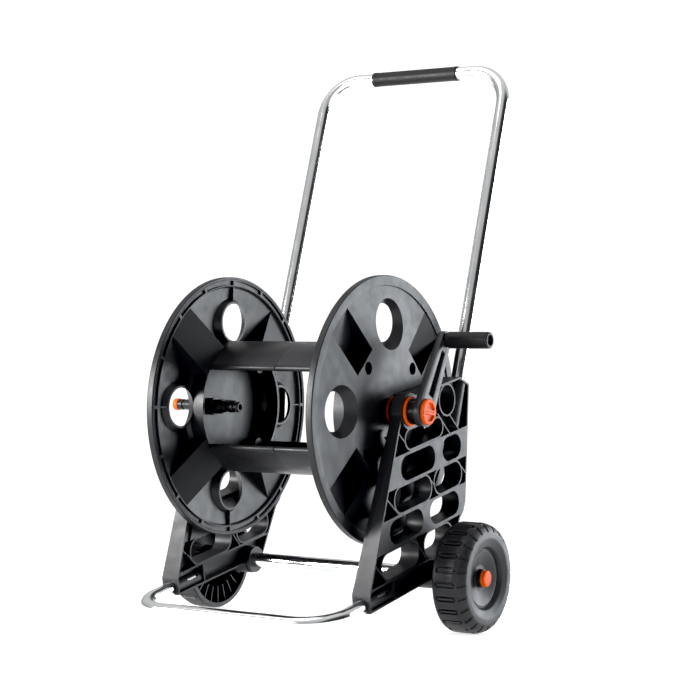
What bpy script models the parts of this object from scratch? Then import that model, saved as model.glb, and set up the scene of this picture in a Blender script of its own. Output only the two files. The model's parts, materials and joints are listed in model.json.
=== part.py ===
"""Garden hose reel cart: a tube frame on two wheels that carries a free-turning hose drum.

X runs along the drum axle with the crank on the +X side, -Y is the front where the foot loop
rests, +Z is up.  The origin lies on the floor under the middle of the overall box.
"""

import math

import bmesh
import bpy
from mathutils import Matrix, Vector

for leftover in list(bpy.data.objects):
    bpy.data.objects.remove(leftover, do_unlink=True)

# ---------------------------------------------------------------- driving sizes, metres
GAP = 0.0003                      # air between neighbouring pieces
RUN = 0.0001                      # radial clearance of a running fit

WHEEL_RADIUS = 0.0823
WHEEL_INNER_X = 0.2210            # inner edge of the tread, from the drum's middle plane
WHEEL_OUTER_X = 0.2720            # outermost bulge of the sidewall
WHEEL_BACK = 0.1112               # axle behind the drum axis
HUB_HEIGHT = 0.3206               # drum axis above the floor

FLANGE_RADIUS = 0.200
FLANGE_INNER_X = 0.1350           # inner face of a drum flange
FLANGE_DEPTH = 0.0110
FLANGE_SKIN = 0.0045
BULGE_X = 0.1520                  # the drum's end walls swell outwards to here
HUB_FACE_X = 0.1500
RIM_WIDTH = 0.0150
CORE_RADIUS = 0.1010
CORE_SKIN = 0.0045
DRUM_PHASE = math.radians(-4.8)   # how far the front hole of the drum hangs below level
HOLE_ORBIT = 0.1300
HOLE_RADIUS_OUT = 0.0385
HOLE_RADIUS_IN = 0.0285
WINDOW_HALF_ANGLE = math.radians(38.0)
JOURNAL_RADIUS = 0.0160
SCREW_ORBIT = 0.0880
SCREW_WELL_RADIUS = 0.0095

PANEL_MID_X = 0.1713
PANEL_DEPTH = 0.0300
PANEL_WEB = 0.0050
PANEL_TOE = (0.0014, 0.0255)      # where the front edge starts, along and up the rows
ROW_TILT = math.radians(16.1)     # the panel's rows climb towards the back
FRONT_EDGE_TILT = math.radians(61.4)
PANEL_FOOT = (-0.0773, -0.2939)   # lower front corner from the drum axis, (y, z)
ROW_LINES = (0.0, 0.0315, 0.0755, 0.1180, 0.1600, 0.2025, 0.2815)
HUB_BOSS_RADIUS = 0.0270
AXLE_BOSS_RADIUS = 0.0215
SLOT_RADIUS = 0.0185
RIB = 0.0025

FRAME_TUBE_RADIUS = 0.0100
HANDLE_BACK = 0.1478              # leg line behind the drum axis at axis height
HANDLE_TILT = math.radians(12.0)
HANDLE_LENGTH = 0.5826            # from axis height to the top bar, along the leg
HANDLE_BEND = 0.0600
HANDLE_GRIP_HALF = 0.0800
HANDLE_GRIP_RADIUS = 0.0120
LOOP_OFFSET = 0.0095              # loop tube above the panel's bottom edge
LOOP_BEND = 0.0560
AXLE_RADIUS = 0.0110

CRANK_REACH = 0.1198
CRANK_TILT = math.radians(23.4)   # crank arm leans back from upright
ARM_INNER_X = 0.2035
ARM_OUTER_X = 0.2135
ARM_FOOT_RADIUS = 0.0225
ARM_HEAD_RADIUS = 0.0132
GRIP_RADIUS = 0.0125
GRIP_END_X = 0.2865
KNOB_RADIUS = 0.0190
KNOB_END_X = 0.2195

INLET_END_X = 0.2465
OUTLET_ORBIT = 0.0560
OUTLET_ARM_RADIUS = 0.0090

# ---------------------------------------------------------------- values that follow from them
PANEL_IN_X = PANEL_MID_X - PANEL_DEPTH / 2
PANEL_OUT_X = PANEL_MID_X + PANEL_DEPTH / 2
FLANGE_OUTER_X = FLANGE_INNER_X + FLANGE_DEPTH
AXLE_Z = WHEEL_RADIUS - HUB_HEIGHT
LOOP_Z = FRAME_TUBE_RADIUS - HUB_HEIGHT
HANDLE_TOP_Y = HANDLE_BACK + HANDLE_LENGTH * math.sin(HANDLE_TILT)
HANDLE_TOP_Z = HANDLE_LENGTH * math.cos(HANDLE_TILT)


def panel_point(along, up):
    """A point of the side panel given along its rows and square to them, as (y, z)."""
    cos_tilt = math.cos(ROW_TILT)
    sin_tilt = math.sin(ROW_TILT)
    y = PANEL_FOOT[0] + along * cos_tilt - up * sin_tilt
    z = PANEL_FOOT[1] + along * sin_tilt + up * cos_tilt
    return (y, z)


LOOP_START = panel_point(0.0, LOOP_OFFSET)
LOOP_Y = LOOP_START[0] - (LOOP_START[1] - LOOP_Z) / math.tan(ROW_TILT)

FRONT_Y = min(LOOP_Y - FRAME_TUBE_RADIUS, -FLANGE_RADIUS)
REAR_Y = HANDLE_TOP_Y + HANDLE_GRIP_RADIUS
SHIFT = Vector((-(GRIP_END_X - WHEEL_OUTER_X) / 2, -(FRONT_Y + REAR_Y) / 2, HUB_HEIGHT))

# ---------------------------------------------------------------- collections and materials
parts = bpy.data.collections.new("garden_hose_reel_cart")
cutters = bpy.data.collections.new("cutters")
for group in (parts, cutters):
    bpy.context.scene.collection.children.link(group)

LOOKS = {
    "black_plastic": ((0.030, 0.032, 0.036), 0.42, 0.0),
    "drum_plastic": ((0.036, 0.038, 0.043), 0.38, 0.0),
    "steel_tube": ((0.72, 0.73, 0.74), 0.22, 1.0),
    "orange_plastic": ((0.80, 0.17, 0.03), 0.35, 0.0),
    "tyre_plastic": ((0.040, 0.042, 0.046), 0.55, 0.0),
    "screw_steel": ((0.60, 0.60, 0.61), 0.30, 1.0),
}


def material_for(node, look):
    colour, roughness, metallic = LOOKS[look]
    material = bpy.data.materials.new(node)
    material.use_nodes = True
    shader = material.node_tree.nodes["Principled BSDF"]
    shader.inputs["Base Color"].default_value = (*colour, 1.0)
    shader.inputs["Roughness"].default_value = roughness
    shader.inputs["Metallic"].default_value = metallic
    material.diffuse_color = (*colour, 1.0)
    return material


# ---------------------------------------------------------------- shape helpers
def settle(bm):
    """Weld, drop slivers and face outwards; returns a new mesh in the shared frame."""
    bmesh.ops.remove_doubles(bm, verts=bm.verts, dist=1e-6)
    bmesh.ops.dissolve_degenerate(bm, edges=bm.edges, dist=1e-7)
    bmesh.ops.recalc_face_normals(bm, faces=bm.faces)
    mesh = bpy.data.meshes.new("shape")
    bm.to_mesh(mesh)
    bm.free()
    return mesh


def baked(obj):
    """The object's evaluated mesh in world space; the object itself is removed."""
    graph = bpy.context.evaluated_depsgraph_get()
    mesh = bpy.data.meshes.new_from_object(obj.evaluated_get(graph))
    mesh.transform(obj.matrix_world)
    bpy.data.objects.remove(obj, do_unlink=True)
    bm = bmesh.new()
    bm.from_mesh(mesh)
    return settle(bm)


def flattened(mesh):
    """Joins faces that lie in one plane."""
    bm = bmesh.new()
    bm.from_mesh(mesh)
    bmesh.ops.dissolve_limit(bm, angle_limit=0.001, verts=bm.verts, edges=bm.edges)
    return settle(bm)


def merged(meshes):
    """Several closed meshes as one mesh."""
    bm = bmesh.new()
    for mesh in meshes:
        bm.from_mesh(mesh)
    return settle(bm)


def turned(profile, segments=48, centre=(0.0, 0.0)):
    """Closed (x, radius) profile turned about an X axis through centre (y, z)."""
    mesh = bpy.data.meshes.new("profile")
    on_axis = profile[0][1] == 0.0
    edges = [(i, i + 1) for i in range(len(profile) - 1)]
    if not on_axis:
        edges.append((len(profile) - 1, 0))
    mesh.from_pydata([(x, 0.0, r) for x, r in profile], edges, [])
    obj = bpy.data.objects.new("profile", mesh)
    cutters.objects.link(obj)
    screw = obj.modifiers.new("turn", "SCREW")
    screw.axis = "X"
    screw.steps = segments
    screw.render_steps = segments
    screw.use_merge_vertices = True
    screw.merge_threshold = 0.00001
    bpy.context.view_layer.update()
    solid = baked(obj)
    solid.transform(Matrix.Translation((0.0, centre[0], centre[1])))
    return solid


def slab(outline, x_low, x_high):
    """A flat (y, z) outline given thickness from x_low to x_high."""
    curve = bpy.data.curves.new("outline", "CURVE")
    curve.dimensions = "2D"
    curve.fill_mode = "BOTH"
    curve.extrude = (x_high - x_low) / 2
    spline = curve.splines.new("POLY")
    spline.points.add(len(outline) - 1)
    for point, (y, z) in zip(spline.points, outline):
        point.co = (y, z, 0.0, 1.0)
    spline.use_cyclic_u = True
    obj = bpy.data.objects.new("outline", curve)
    cutters.objects.link(obj)
    bpy.context.view_layer.update()
    solid = flattened(baked(obj))
    to_frame = Matrix(((0, 0, 1, (x_low + x_high) / 2), (1, 0, 0, 0), (0, 1, 0, 0), (0, 0, 0, 1)))
    solid.transform(to_frame)
    return solid


def rod(start, end, radius, segments=24, end_radius=None):
    """A cylinder or cone between two points."""
    start = Vector(start)
    end = Vector(end)
    direction = end - start
    turn = direction.to_track_quat("Z", "Y").to_matrix().to_4x4()
    bm = bmesh.new()
    bmesh.ops.create_cone(
        bm, cap_ends=True, segments=segments, radius1=radius,
        radius2=radius if end_radius is None else end_radius,
        depth=direction.length, matrix=Matrix.Translation((start + end) / 2) @ turn)
    return settle(bm)


def bent_tube(points, radius, resolution=3):
    """A round bar along a polyline of points."""
    curve = bpy.data.curves.new("path", "CURVE")
    curve.dimensions = "3D"
    curve.bevel_depth = radius
    curve.bevel_resolution = resolution
    curve.use_fill_caps = True
    spline = curve.splines.new("POLY")
    spline.points.add(len(points) - 1)
    for point, co in zip(spline.points, points):
        point.co = (*co, 1.0)
    obj = bpy.data.objects.new("path", curve)
    cutters.objects.link(obj)
    bpy.context.view_layer.update()
    return baked(obj)


def arc(centre, radius, start, stop, steps):
    """Points on a circle in a plane, angles in radians."""
    span = stop - start
    angles = [start + span * i / steps for i in range(steps + 1)]
    return [(centre[0] + radius * math.cos(a), centre[1] + radius * math.sin(a)) for a in angles]


def oblong(along, up, half_length, radius, steps=4):
    """A rounded slot lying along the panel's rows, as (y, z) points."""
    reach = half_length - radius
    rear = arc((along + reach, up), radius, -math.pi / 2, math.pi / 2, steps)
    front = arc((along - reach, up), radius, math.pi / 2, 3 * math.pi / 2, steps)
    return [panel_point(a, n) for a, n in rear + front]


def strut(start, end, width, x_low, x_high):
    """A straight bar between two points given along the panel's rows."""
    run = Vector(end) - Vector(start)
    side = Vector((-run.y, run.x)).normalized() * width / 2
    corners = [Vector(start) - side, Vector(end) - side, Vector(end) + side, Vector(start) + side]
    return slab([panel_point(c.x, c.y) for c in corners], x_low, x_high)


def cutter(name, mesh):
    mesh.transform(Matrix.Translation(SHIFT))
    obj = bpy.data.objects.new(name, mesh)
    cutters.objects.link(obj)
    obj.hide_render = True
    obj.display_type = "WIRE"
    return obj


def boolean(obj, other, operation):
    step = obj.modifiers.new(operation.lower(), "BOOLEAN")
    step.operation = operation
    step.solver = "EXACT"
    step.object = other


def piece(name, mesh, look, axis_point=None, smooth=True):
    """A named node; a moving piece keeps its origin at axis_point, given from the drum axis."""
    origin = Vector((0.0, 0.0, 0.0)) if axis_point is None else Vector(axis_point) + SHIFT
    mesh.transform(Matrix.Translation(SHIFT - origin))
    mesh.name = name
    obj = bpy.data.objects.new(name, mesh)
    obj.location = origin
    mesh.materials.append(material_for(name, look))
    for face in mesh.polygons:
        face.use_smooth = smooth
    if smooth:
        mesh.set_sharp_from_angle(angle=math.radians(35))
    parts.objects.link(obj)
    return obj


def mirrored(mesh):
    """The same shape on the other side of the drum's middle plane."""
    bm = bmesh.new()
    bm.from_mesh(mesh)
    for vert in bm.verts:
        vert.co.x = -vert.co.x
    return settle(bm)


# ---------------------------------------------------------------- drum halves
WEDGE_HALF_WIDTH = 0.0275
WEDGE_SKIN = 0.0026
WEDGE_TIP = FLANGE_RADIUS - RIM_WIDTH - 0.0012
WEDGE_ROOT = CORE_RADIUS - 0.0012
WEDGE_DROP = 0.0240
RECESS = 0.0020                   # the flange face sits this far inside its rim
BORE_RADIUS = 0.0095
RIB_COUNT = 16                    # pockets in the rim's inner side


def drum_profile(journal_end):
    """Half section of one drum moulding from its rim round to the journal."""
    rim_inner = FLANGE_RADIUS - RIM_WIDTH
    face = FLANGE_OUTER_X - RECESS
    swell = BULGE_X - face
    return [
        (FLANGE_OUTER_X, FLANGE_RADIUS),
        (FLANGE_INNER_X, FLANGE_RADIUS),
        (FLANGE_INNER_X, rim_inner),
        (face - 0.0030, rim_inner - 0.0010),
        (BULGE_X - FLANGE_SKIN, CORE_RADIUS + 0.0040),
        (BULGE_X - FLANGE_SKIN - 0.0050, CORE_RADIUS),
        (GAP / 2, CORE_RADIUS),
        (GAP / 2, CORE_RADIUS - CORE_SKIN),
        (BULGE_X - FLANGE_SKIN - 0.0070, CORE_RADIUS - CORE_SKIN),
        (BULGE_X - FLANGE_SKIN, CORE_RADIUS - 0.0120),
        (BULGE_X - FLANGE_SKIN, 0.0620),
        (HUB_FACE_X - FLANGE_SKIN, 0.0300),
        (HUB_FACE_X - FLANGE_SKIN, BORE_RADIUS),
        (journal_end, BORE_RADIUS),
        (journal_end, JOURNAL_RADIUS),
        (HUB_FACE_X, JOURNAL_RADIUS),
        (HUB_FACE_X, 0.0300),
        (BULGE_X, 0.0620),
        (BULGE_X, CORE_RADIUS - 0.0080),
        (face + swell * 0.60, 0.1300),
        (face, rim_inner - 0.0015),
        (FLANGE_OUTER_X, rim_inner),
    ]


def around_axis(mesh, angle):
    """Turned about the drum axis; angle 0 points to the front and grows upwards."""
    mesh.transform(Matrix.Rotation(-angle, 4, "X"))
    return mesh


def hole_cone(grow, x_low, x_high):
    """A cone on the front spoke, wider at the outer face."""
    slope = (HOLE_RADIUS_OUT - HOLE_RADIUS_IN) / (FLANGE_DEPTH + 0.0030)
    low = HOLE_RADIUS_IN + slope * (x_low - FLANGE_INNER_X) + grow
    high = HOLE_RADIUS_IN + slope * (x_high - FLANGE_INNER_X) + grow
    return rod((x_low, -HOLE_ORBIT, 0.0), (x_high, -HOLE_ORBIT, 0.0), low, 16, high)


def wedge(grow, drop, top, tip, root, rise=0.0):
    """A ramp on the front spoke that sinks towards the drum core, drawn as a side section."""
    floor = FLANGE_OUTER_X - RECESS - 0.0003 - drop
    section = [(-tip, top), (-root, top + rise), (-root, floor - WEDGE_DROP), (-tip, floor)]
    solid = slab(section, -WEDGE_HALF_WIDTH - grow, WEDGE_HALF_WIDTH + grow)
    solid.transform(Matrix(((0, 0, 1, 0), (0, 1, 0, 0), (-1, 0, 0, 0), (0, 0, 0, 1))))
    return solid


def spokes(make, start=0.0, count=4):
    step = 2 * math.pi / count
    return merged([around_axis(make(), DRUM_PHASE + start + step * i) for i in range(count)])


def rim_rib():
    """A short radial rib across the rim's inner face."""
    radii = (FLANGE_RADIUS - RIM_WIDTH + 0.0022, FLANGE_RADIUS - 0.0028)
    half = math.pi / RIB_COUNT - 0.009
    outer = arc((0.0, 0.0), radii[1], math.pi - half, math.pi + half, 1)
    inner = arc((0.0, 0.0), radii[0], math.pi + half, math.pi - half, 1)
    return slab(outer + inner, FLANGE_INNER_X - 0.004, FLANGE_INNER_X + 0.0040)


def drum_side(side):
    """One moulding of the drum: flange, dished end, half of the core and the journal."""
    place = (lambda mesh: mesh) if side > 0 else mirrored
    tag = "right" if side > 0 else "left"
    journal_end = ARM_INNER_X - GAP if side > 0 else PANEL_OUT_X + 0.0040
    base = turned(drum_profile(journal_end), 40)
    half = piece("drum_half_" + tag, place(base), "drum_plastic", (0, 0, 0))
    web_mid = FLANGE_OUTER_X - 0.0036
    collar_top = FLANGE_OUTER_X + 0.0012
    collars = spokes(lambda: hole_cone(0.0030, FLANGE_INNER_X + 0.0004, collar_top))
    swell = BULGE_X - FLANGE_OUTER_X + 0.0013
    ramps = spokes(lambda: wedge(WEDGE_SKIN, WEDGE_SKIN, web_mid, WEDGE_TIP + 0.0004,
                                 WEDGE_ROOT - 0.0012, swell), math.pi / 4)
    ramp_holes = spokes(lambda: wedge(0.0, 0.0, BULGE_X + 0.006, WEDGE_TIP, WEDGE_ROOT),
                        math.pi / 4)
    holes = spokes(lambda: hole_cone(0.0, FLANGE_INNER_X - 0.006, BULGE_X + 0.004))
    wells = spokes(
        lambda: rod((BULGE_X - 0.0030, -SCREW_ORBIT, 0), (BULGE_X + 0.01, -SCREW_ORBIT, 0),
                    SCREW_WELL_RADIUS, 8), math.pi / 4)
    ribs = spokes(rim_rib, math.pi / RIB_COUNT, RIB_COUNT)
    reach = CORE_RADIUS + 0.02
    inside = CORE_RADIUS * math.cos(WINDOW_HALF_ANGLE) - 0.012
    half_height = CORE_RADIUS * math.sin(WINDOW_HALF_ANGLE)
    openings = [
        slab([(y * inside, -half_height), (y * reach, -half_height), (y * reach, half_height),
              (y * inside, half_height)], -0.01, FLANGE_INNER_X - 0.0180) for y in (-1, 1)]
    window = around_axis(merged(openings), DRUM_PHASE)
    boolean(half, cutter("collars_" + tag, place(collars)), "UNION")
    boolean(half, cutter("ramps_" + tag, place(ramps)), "UNION")
    boolean(half, cutter("ramp_holes_" + tag, place(ramp_holes)), "DIFFERENCE")
    boolean(half, cutter("holes_" + tag, place(holes)), "DIFFERENCE")
    boolean(half, cutter("wells_" + tag, place(wells)), "DIFFERENCE")
    boolean(half, cutter("ribs_" + tag, place(ribs)), "DIFFERENCE")
    boolean(half, cutter("window_" + tag, place(window)), "DIFFERENCE")
    return half


# ---------------------------------------------------------------- side panels
SLOTS = (                         # along, up, half length, radius: the big oblong holes
    (0.0920, 0.0535, 0.0517, SLOT_RADIUS),
    (0.2040, 0.0535, 0.0420, SLOT_RADIUS),
    (0.1180, 0.0968, 0.0482, SLOT_RADIUS),
    (0.2307, 0.0968, 0.0442, SLOT_RADIUS),
    (0.1440, 0.1390, 0.0528, SLOT_RADIUS),
    (0.2480, 0.1390, 0.0411, SLOT_RADIUS),
    (0.1655, 0.1813, 0.0502, SLOT_RADIUS),
    (0.2667, 0.1813, 0.0288, SLOT_RADIUS),
    (0.1900, 0.2205, 0.0545, 0.0140),
)
RING = (0.2649, 0.2555, 0.0225)   # along, up, radius of the round hole by the handle
STRUTS = (                        # slanting ribs, start and end along and up the rows
    ((0.0200, 0.0680), (0.0530, 0.0300)),
    ((0.1350, 0.0770), (0.1680, 0.0300)),
    ((0.0640, 0.1560), (0.1030, 0.1160)),
    ((0.1830, 0.1615), (0.2265, 0.1165)),
    ((0.2760, 0.1615), (0.3110, 0.1240)),
    ((0.1130, 0.2410), (0.1510, 0.2010)),
    ((0.2330, 0.2410), (0.2665, 0.2010)),
    ((0.2680, 0.2320), (0.2950, 0.2010)),
    ((0.0670, -0.0020), (0.0670, 0.0330)),
)
RIB_ROWS = (0, 1, 3, 5)           # the rows left open between the solid bands


def leg_point(run, aside=0.0):
    """A point by the handle leg, (y, z): run along it, aside towards the back."""
    sin_tilt = math.sin(HANDLE_TILT)
    cos_tilt = math.cos(HANDLE_TILT)
    return (HANDLE_BACK + run * sin_tilt + aside * cos_tilt, run * cos_tilt - aside * sin_tilt)


def hits(point, direction, centre, radius):
    """Where a line crosses a circle, nearest end of the line first."""
    line = Vector(direction).normalized()
    offset = Vector(point) - Vector(centre)
    middle = -offset.dot(line)
    half = math.sqrt(radius ** 2 - (offset + line * middle).length_squared)
    return [Vector(point) + line * (middle - half), Vector(point) + line * (middle + half)]


def bearing(point, centre):
    return math.atan2(point[1] - centre[1], point[0] - centre[0])


def panel_outline():
    """The side panel's outline as (y, z), anticlockwise from its lower front corner."""
    axle = (WHEEL_BACK, AXLE_Z)
    hub = (0.0, 0.0)
    row = (math.cos(ROW_TILT), math.sin(ROW_TILT))
    edge_tilt = ROW_TILT + FRONT_EDGE_TILT
    edge = (math.cos(edge_tilt), math.sin(edge_tilt))
    toe = panel_point(*PANEL_TOE)
    axle_in = hits(PANEL_FOOT, row, axle, AXLE_BOSS_RADIUS)[0]
    heel = panel_point(0.2737, 0.0688)
    start = bearing(axle_in, axle) % (2 * math.pi)
    stop = 2 * math.pi + math.radians(-14)
    boss = arc(axle, AXLE_BOSS_RADIUS, start, stop, 10)
    top = panel_point(0.0, ROW_LINES[-1])
    hub_top = hits(top, row, hub, HUB_BOSS_RADIUS)[1]
    hub_low = hits(toe, edge, hub, HUB_BOSS_RADIUS)[0]
    hub_arc = arc(hub, HUB_BOSS_RADIUS, bearing(hub_top, hub), bearing(hub_low, hub) + 2 * math.pi, 12)
    rear = [heel, panel_point(0.2865, 0.0775), panel_point(0.2940, 0.0900),
            panel_point(0.3011, 0.1166), panel_point(0.3357, 0.2658), panel_point(0.3102, 0.2815)]
    return [PANEL_FOOT] + boss + rear + hub_arc + [toe]


def inset(outline, distance):
    """The outline drawn in by a distance, edges kept parallel."""
    corners = [Vector(p) for p in outline]
    moved = []
    for i, corner in enumerate(corners):
        before = (corner - corners[i - 1]).normalized()
        after = (corners[(i + 1) % len(corners)] - corner).normalized()
        normal = (Vector((-before.y, before.x)) + Vector((-after.y, after.x))).normalized()
        scale = max(normal.dot(Vector((-before.y, before.x))), 0.5)
        moved.append(corner + normal * distance / scale)
    return moved


def row_band(index, x_low, x_high):
    low = ROW_LINES[index] + RIB / 2
    high = ROW_LINES[index + 1] - RIB / 2
    corners = [(-0.05, low), (0.40, low), (0.40, high), (-0.05, high)]
    return slab([panel_point(a, n) for a, n in corners], x_low, x_high)


def panel_side(side):
    """One latticed side panel with its tube sockets, drum bearing and axle boss."""
    place = (lambda mesh: mesh) if side > 0 else mirrored
    tag = "right" if side > 0 else "left"
    axle = (WHEEL_BACK, AXLE_Z)
    outline = panel_outline()
    body = slab(outline, PANEL_IN_X, PANEL_OUT_X)
    panel = piece("side_panel_" + tag, place(body), "black_plastic", smooth=False)
    depth = (PANEL_DEPTH - PANEL_WEB) / 2
    layers = ((PANEL_IN_X - 0.004, PANEL_IN_X + depth), (PANEL_OUT_X - depth, PANEL_OUT_X + 0.004))
    rows = merged([row_band(i, low, high) for i in RIB_ROWS for low, high in layers])
    pockets = cutter("pockets_" + tag, place(rows))
    wide = (PANEL_IN_X - 0.010, PANEL_OUT_X + 0.010)
    keep_in = cutter("pocket_limit_" + tag, place(slab(inset(outline, RIB + 0.0003), *wide)))
    boolean(pockets, keep_in, "INTERSECT")
    walls = [slab(oblong(a, n, half + RIB, r + RIB), *wide) for a, n, half, r in SLOTS if r == SLOT_RADIUS]
    ring_at = panel_point(RING[0], RING[1])
    ring_wall = rod((wide[0], *ring_at), (wide[1], *ring_at), RING[2] + RIB, 16)
    hub_wall = rod((wide[0], 0, 0), (wide[1], 0, 0), HUB_BOSS_RADIUS, 20)
    low_slot = slab(oblong(*SLOTS[-1][:2], SLOTS[-1][2] + RIB, SLOTS[-1][3] + RIB), *wide)
    axle_wall = rod((wide[0] - 0.002, *axle), (wide[1] + 0.002, *axle), AXLE_BOSS_RADIUS, 20)
    struts = [strut(start, end, RIB, *wide) for start, end in STRUTS]
    socket = rod((PANEL_MID_X, *leg_point(-0.017)), (PANEL_MID_X, *leg_point(0.090)), 0.0134, 12)
    toe_socket = rod((PANEL_MID_X, *panel_point(-0.020, LOOP_OFFSET)),
                     (PANEL_MID_X, *panel_point(0.066, LOOP_OFFSET)), 0.0123, 12)
    solids = walls + [ring_wall, hub_wall, low_slot, axle_wall] + struts + [socket, toe_socket]
    for number, solid in enumerate(solids):
        boolean(pockets, cutter("rib_%s_%d" % (tag, number), place(solid)), "DIFFERENCE")
    through = [slab(oblong(a, n, half, r), *wide) for a, n, half, r in SLOTS]
    through.append(rod((wide[0], *ring_at), (wide[1], *ring_at), RING[2], 16))
    slit = [(0.0270, 0.0225), (0.0545, 0.0225), (0.0545, 0.0262), (0.0270, 0.0262)]
    through.append(slab([panel_point(a, n) for a, n in slit], *wide))
    bores = [
        rod((PANEL_MID_X, *leg_point(-0.0125)), (PANEL_MID_X, *leg_point(0.110)),
            FRAME_TUBE_RADIUS + GAP * 2, 16),
        rod((PANEL_MID_X, *panel_point(-0.020, LOOP_OFFSET)),
            (PANEL_MID_X, *panel_point(0.0650, LOOP_OFFSET)), FRAME_TUBE_RADIUS + GAP * 2, 16),
        rod((wide[0] - 0.01, *axle), (wide[1], *axle), AXLE_RADIUS + GAP, 20),
        rod((wide[0], 0, 0), (wide[1], 0, 0), BUSH_RADIUS + GAP * 2, 32),
    ]
    boss = rod((PANEL_IN_X - 0.006, *axle), (PANEL_MID_X, *axle), AXLE_BOSS_RADIUS - 0.0012, 20)
    boolean(panel, pockets, "DIFFERENCE")
    boolean(panel, cutter("axle_boss_" + tag, place(boss)), "UNION")
    boolean(panel, cutter("through_" + tag, place(merged(through))), "DIFFERENCE")
    for number, bore in enumerate(bores):
        boolean(panel, cutter("bore_%s_%d" % (tag, number), place(bore)), "DIFFERENCE")
    return panel


# ---------------------------------------------------------------- frame tubes
def rounded_path(corners, radius, steps=7):
    """A polyline with its inner corners rounded."""
    path = [Vector(corners[0])]
    for before, corner, after in zip(corners, corners[1:], corners[2:]):
        corner = Vector(corner)
        back = (Vector(before) - corner).normalized()
        ahead = (Vector(after) - corner).normalized()
        half = back.angle(ahead) / 2
        setback = radius / math.tan(half)
        centre = corner + (back + ahead).normalized() * radius / math.sin(half)
        start = (corner + back * setback - centre).normalized()
        stop = (corner + ahead * setback - centre).normalized()
        for i in range(steps + 1):
            path.append(centre + start.slerp(stop, i / steps) * radius)
    path.append(Vector(corners[-1]))
    return path


def frame_tubes():
    foot = leg_point(-0.0120)
    head = (HANDLE_TOP_Y, HANDLE_TOP_Z)
    handle = [(-PANEL_MID_X, *foot), (-PANEL_MID_X, *head), (PANEL_MID_X, *head), (PANEL_MID_X, *foot)]
    piece("handle_tube", bent_tube(rounded_path(handle, HANDLE_BEND), FRAME_TUBE_RADIUS), "steel_tube")
    tail = panel_point(0.0645, LOOP_OFFSET)
    toe = (LOOP_Y, LOOP_Z)
    loop = [(-PANEL_MID_X, *tail), (-PANEL_MID_X, *toe), (PANEL_MID_X, *toe), (PANEL_MID_X, *tail)]
    piece("front_loop_tube", bent_tube(rounded_path(loop, LOOP_BEND), FRAME_TUBE_RADIUS), "steel_tube")
    end = HANDLE_GRIP_HALF
    inner = FRAME_TUBE_RADIUS + GAP
    outer = HANDLE_GRIP_RADIUS
    sleeve = [(-end, inner), (-end, outer), (end, outer), (end, inner)]
    piece("handle_grip", turned(sleeve, 24, head), "black_plastic")


# ---------------------------------------------------------------- wheels and axle
TREAD_SLOTS = 24
HUB_DISC_RADIUS = 0.0445
AXLE_END_X = 0.2625


def wheel_side(side):
    place = (lambda mesh: mesh) if side > 0 else mirrored
    tag = "right" if side > 0 else "left"
    axle = (WHEEL_BACK, AXLE_Z)
    pivot = (0.0, *axle)
    near = WHEEL_INNER_X
    far = WHEEL_OUTER_X
    r = WHEEL_RADIUS
    tyre_profile = [
        (near, r), (far - 0.0150, r), (far - 0.0070, r - 0.0030), (far - 0.0016, r - 0.0110),
        (far, r - 0.0210), (far - 0.0034, HUB_DISC_RADIUS + 0.0010), (far - 0.0120, HUB_DISC_RADIUS),
        (far - 0.0080, r - 0.0260), (far - 0.0110, r - 0.0120), (far - 0.0170, r - 0.0078),
        (near, r - 0.0078)]
    tyre = piece("wheel_tyre_" + tag, place(turned(tyre_profile, 48, axle)), "tyre_plastic", pivot)
    slots = []
    ribs = []
    for i in range(TREAD_SLOTS):
        turn = Matrix.Rotation(2 * math.pi * (i + 0.5) / TREAD_SLOTS, 4, "X")
        slot = slab([(-0.0030, r - 0.0030), (0.0030, r - 0.0030), (0.0036, r + 0.004),
                     (-0.0036, r + 0.004)], near + 0.0060, far - 0.0120)
        slot.transform(turn)
        slots.append(slot)
        if i % 3 == 0:
            rib = slab([(-0.0014, HUB_DISC_RADIUS + 0.0060), (0.0014, HUB_DISC_RADIUS + 0.0060),
                        (0.0014, r - 0.0060), (-0.0014, r - 0.0060)], near + 0.0080, far - 0.0095)
            rib.transform(turn)
            ribs.append(rib)
    to_axle = Matrix.Translation((0.0, *axle))
    for name, group, operation in (("ribs", ribs, "UNION"), ("slots", slots, "DIFFERENCE")):
        mesh = merged(group)
        mesh.transform(to_axle)
        boolean(tyre, cutter("wheel_%s_%s" % (name, tag), place(mesh)), operation)
    bore = AXLE_RADIUS + RUN
    rim = HUB_DISC_RADIUS - GAP
    start = near - 0.0020
    hub_profile = [
        (start, bore), (start, 0.0165), (far - 0.0220, 0.0165), (far - 0.0150, 0.0360),
        (far - 0.0118, rim), (far - 0.0050, rim), (far - 0.0095, rim - 0.0040),
        (far - 0.0165, 0.0200), (far - 0.0165, 0.0135), (AXLE_END_X + 0.0005, 0.0135),
        (AXLE_END_X + 0.0005, bore)]
    piece("wheel_hub_" + tag, place(turned(hub_profile, 32, axle)), "black_plastic", pivot)
    cap_start = AXLE_END_X + 0.0005 + GAP
    cap_profile = [(cap_start, 0.0), (cap_start, 0.0129), (far - 0.0030, 0.0129),
                   (far - 0.0018, 0.0110), (far - 0.0018, 0.0)]
    piece("wheel_cap_" + tag, place(turned(cap_profile, 24, axle)), "orange_plastic", pivot)
    spacer = [(PANEL_OUT_X + GAP, AXLE_RADIUS + GAP), (PANEL_OUT_X + GAP, 0.0165),
              (start - GAP, 0.0165), (start - GAP, AXLE_RADIUS + GAP)]
    piece("axle_spacer_" + tag, place(turned(spacer, 24, axle)), "black_plastic")


# ---------------------------------------------------------------- hub bearings, crank and water parts
BUSH_RADIUS = 0.0195


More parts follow.
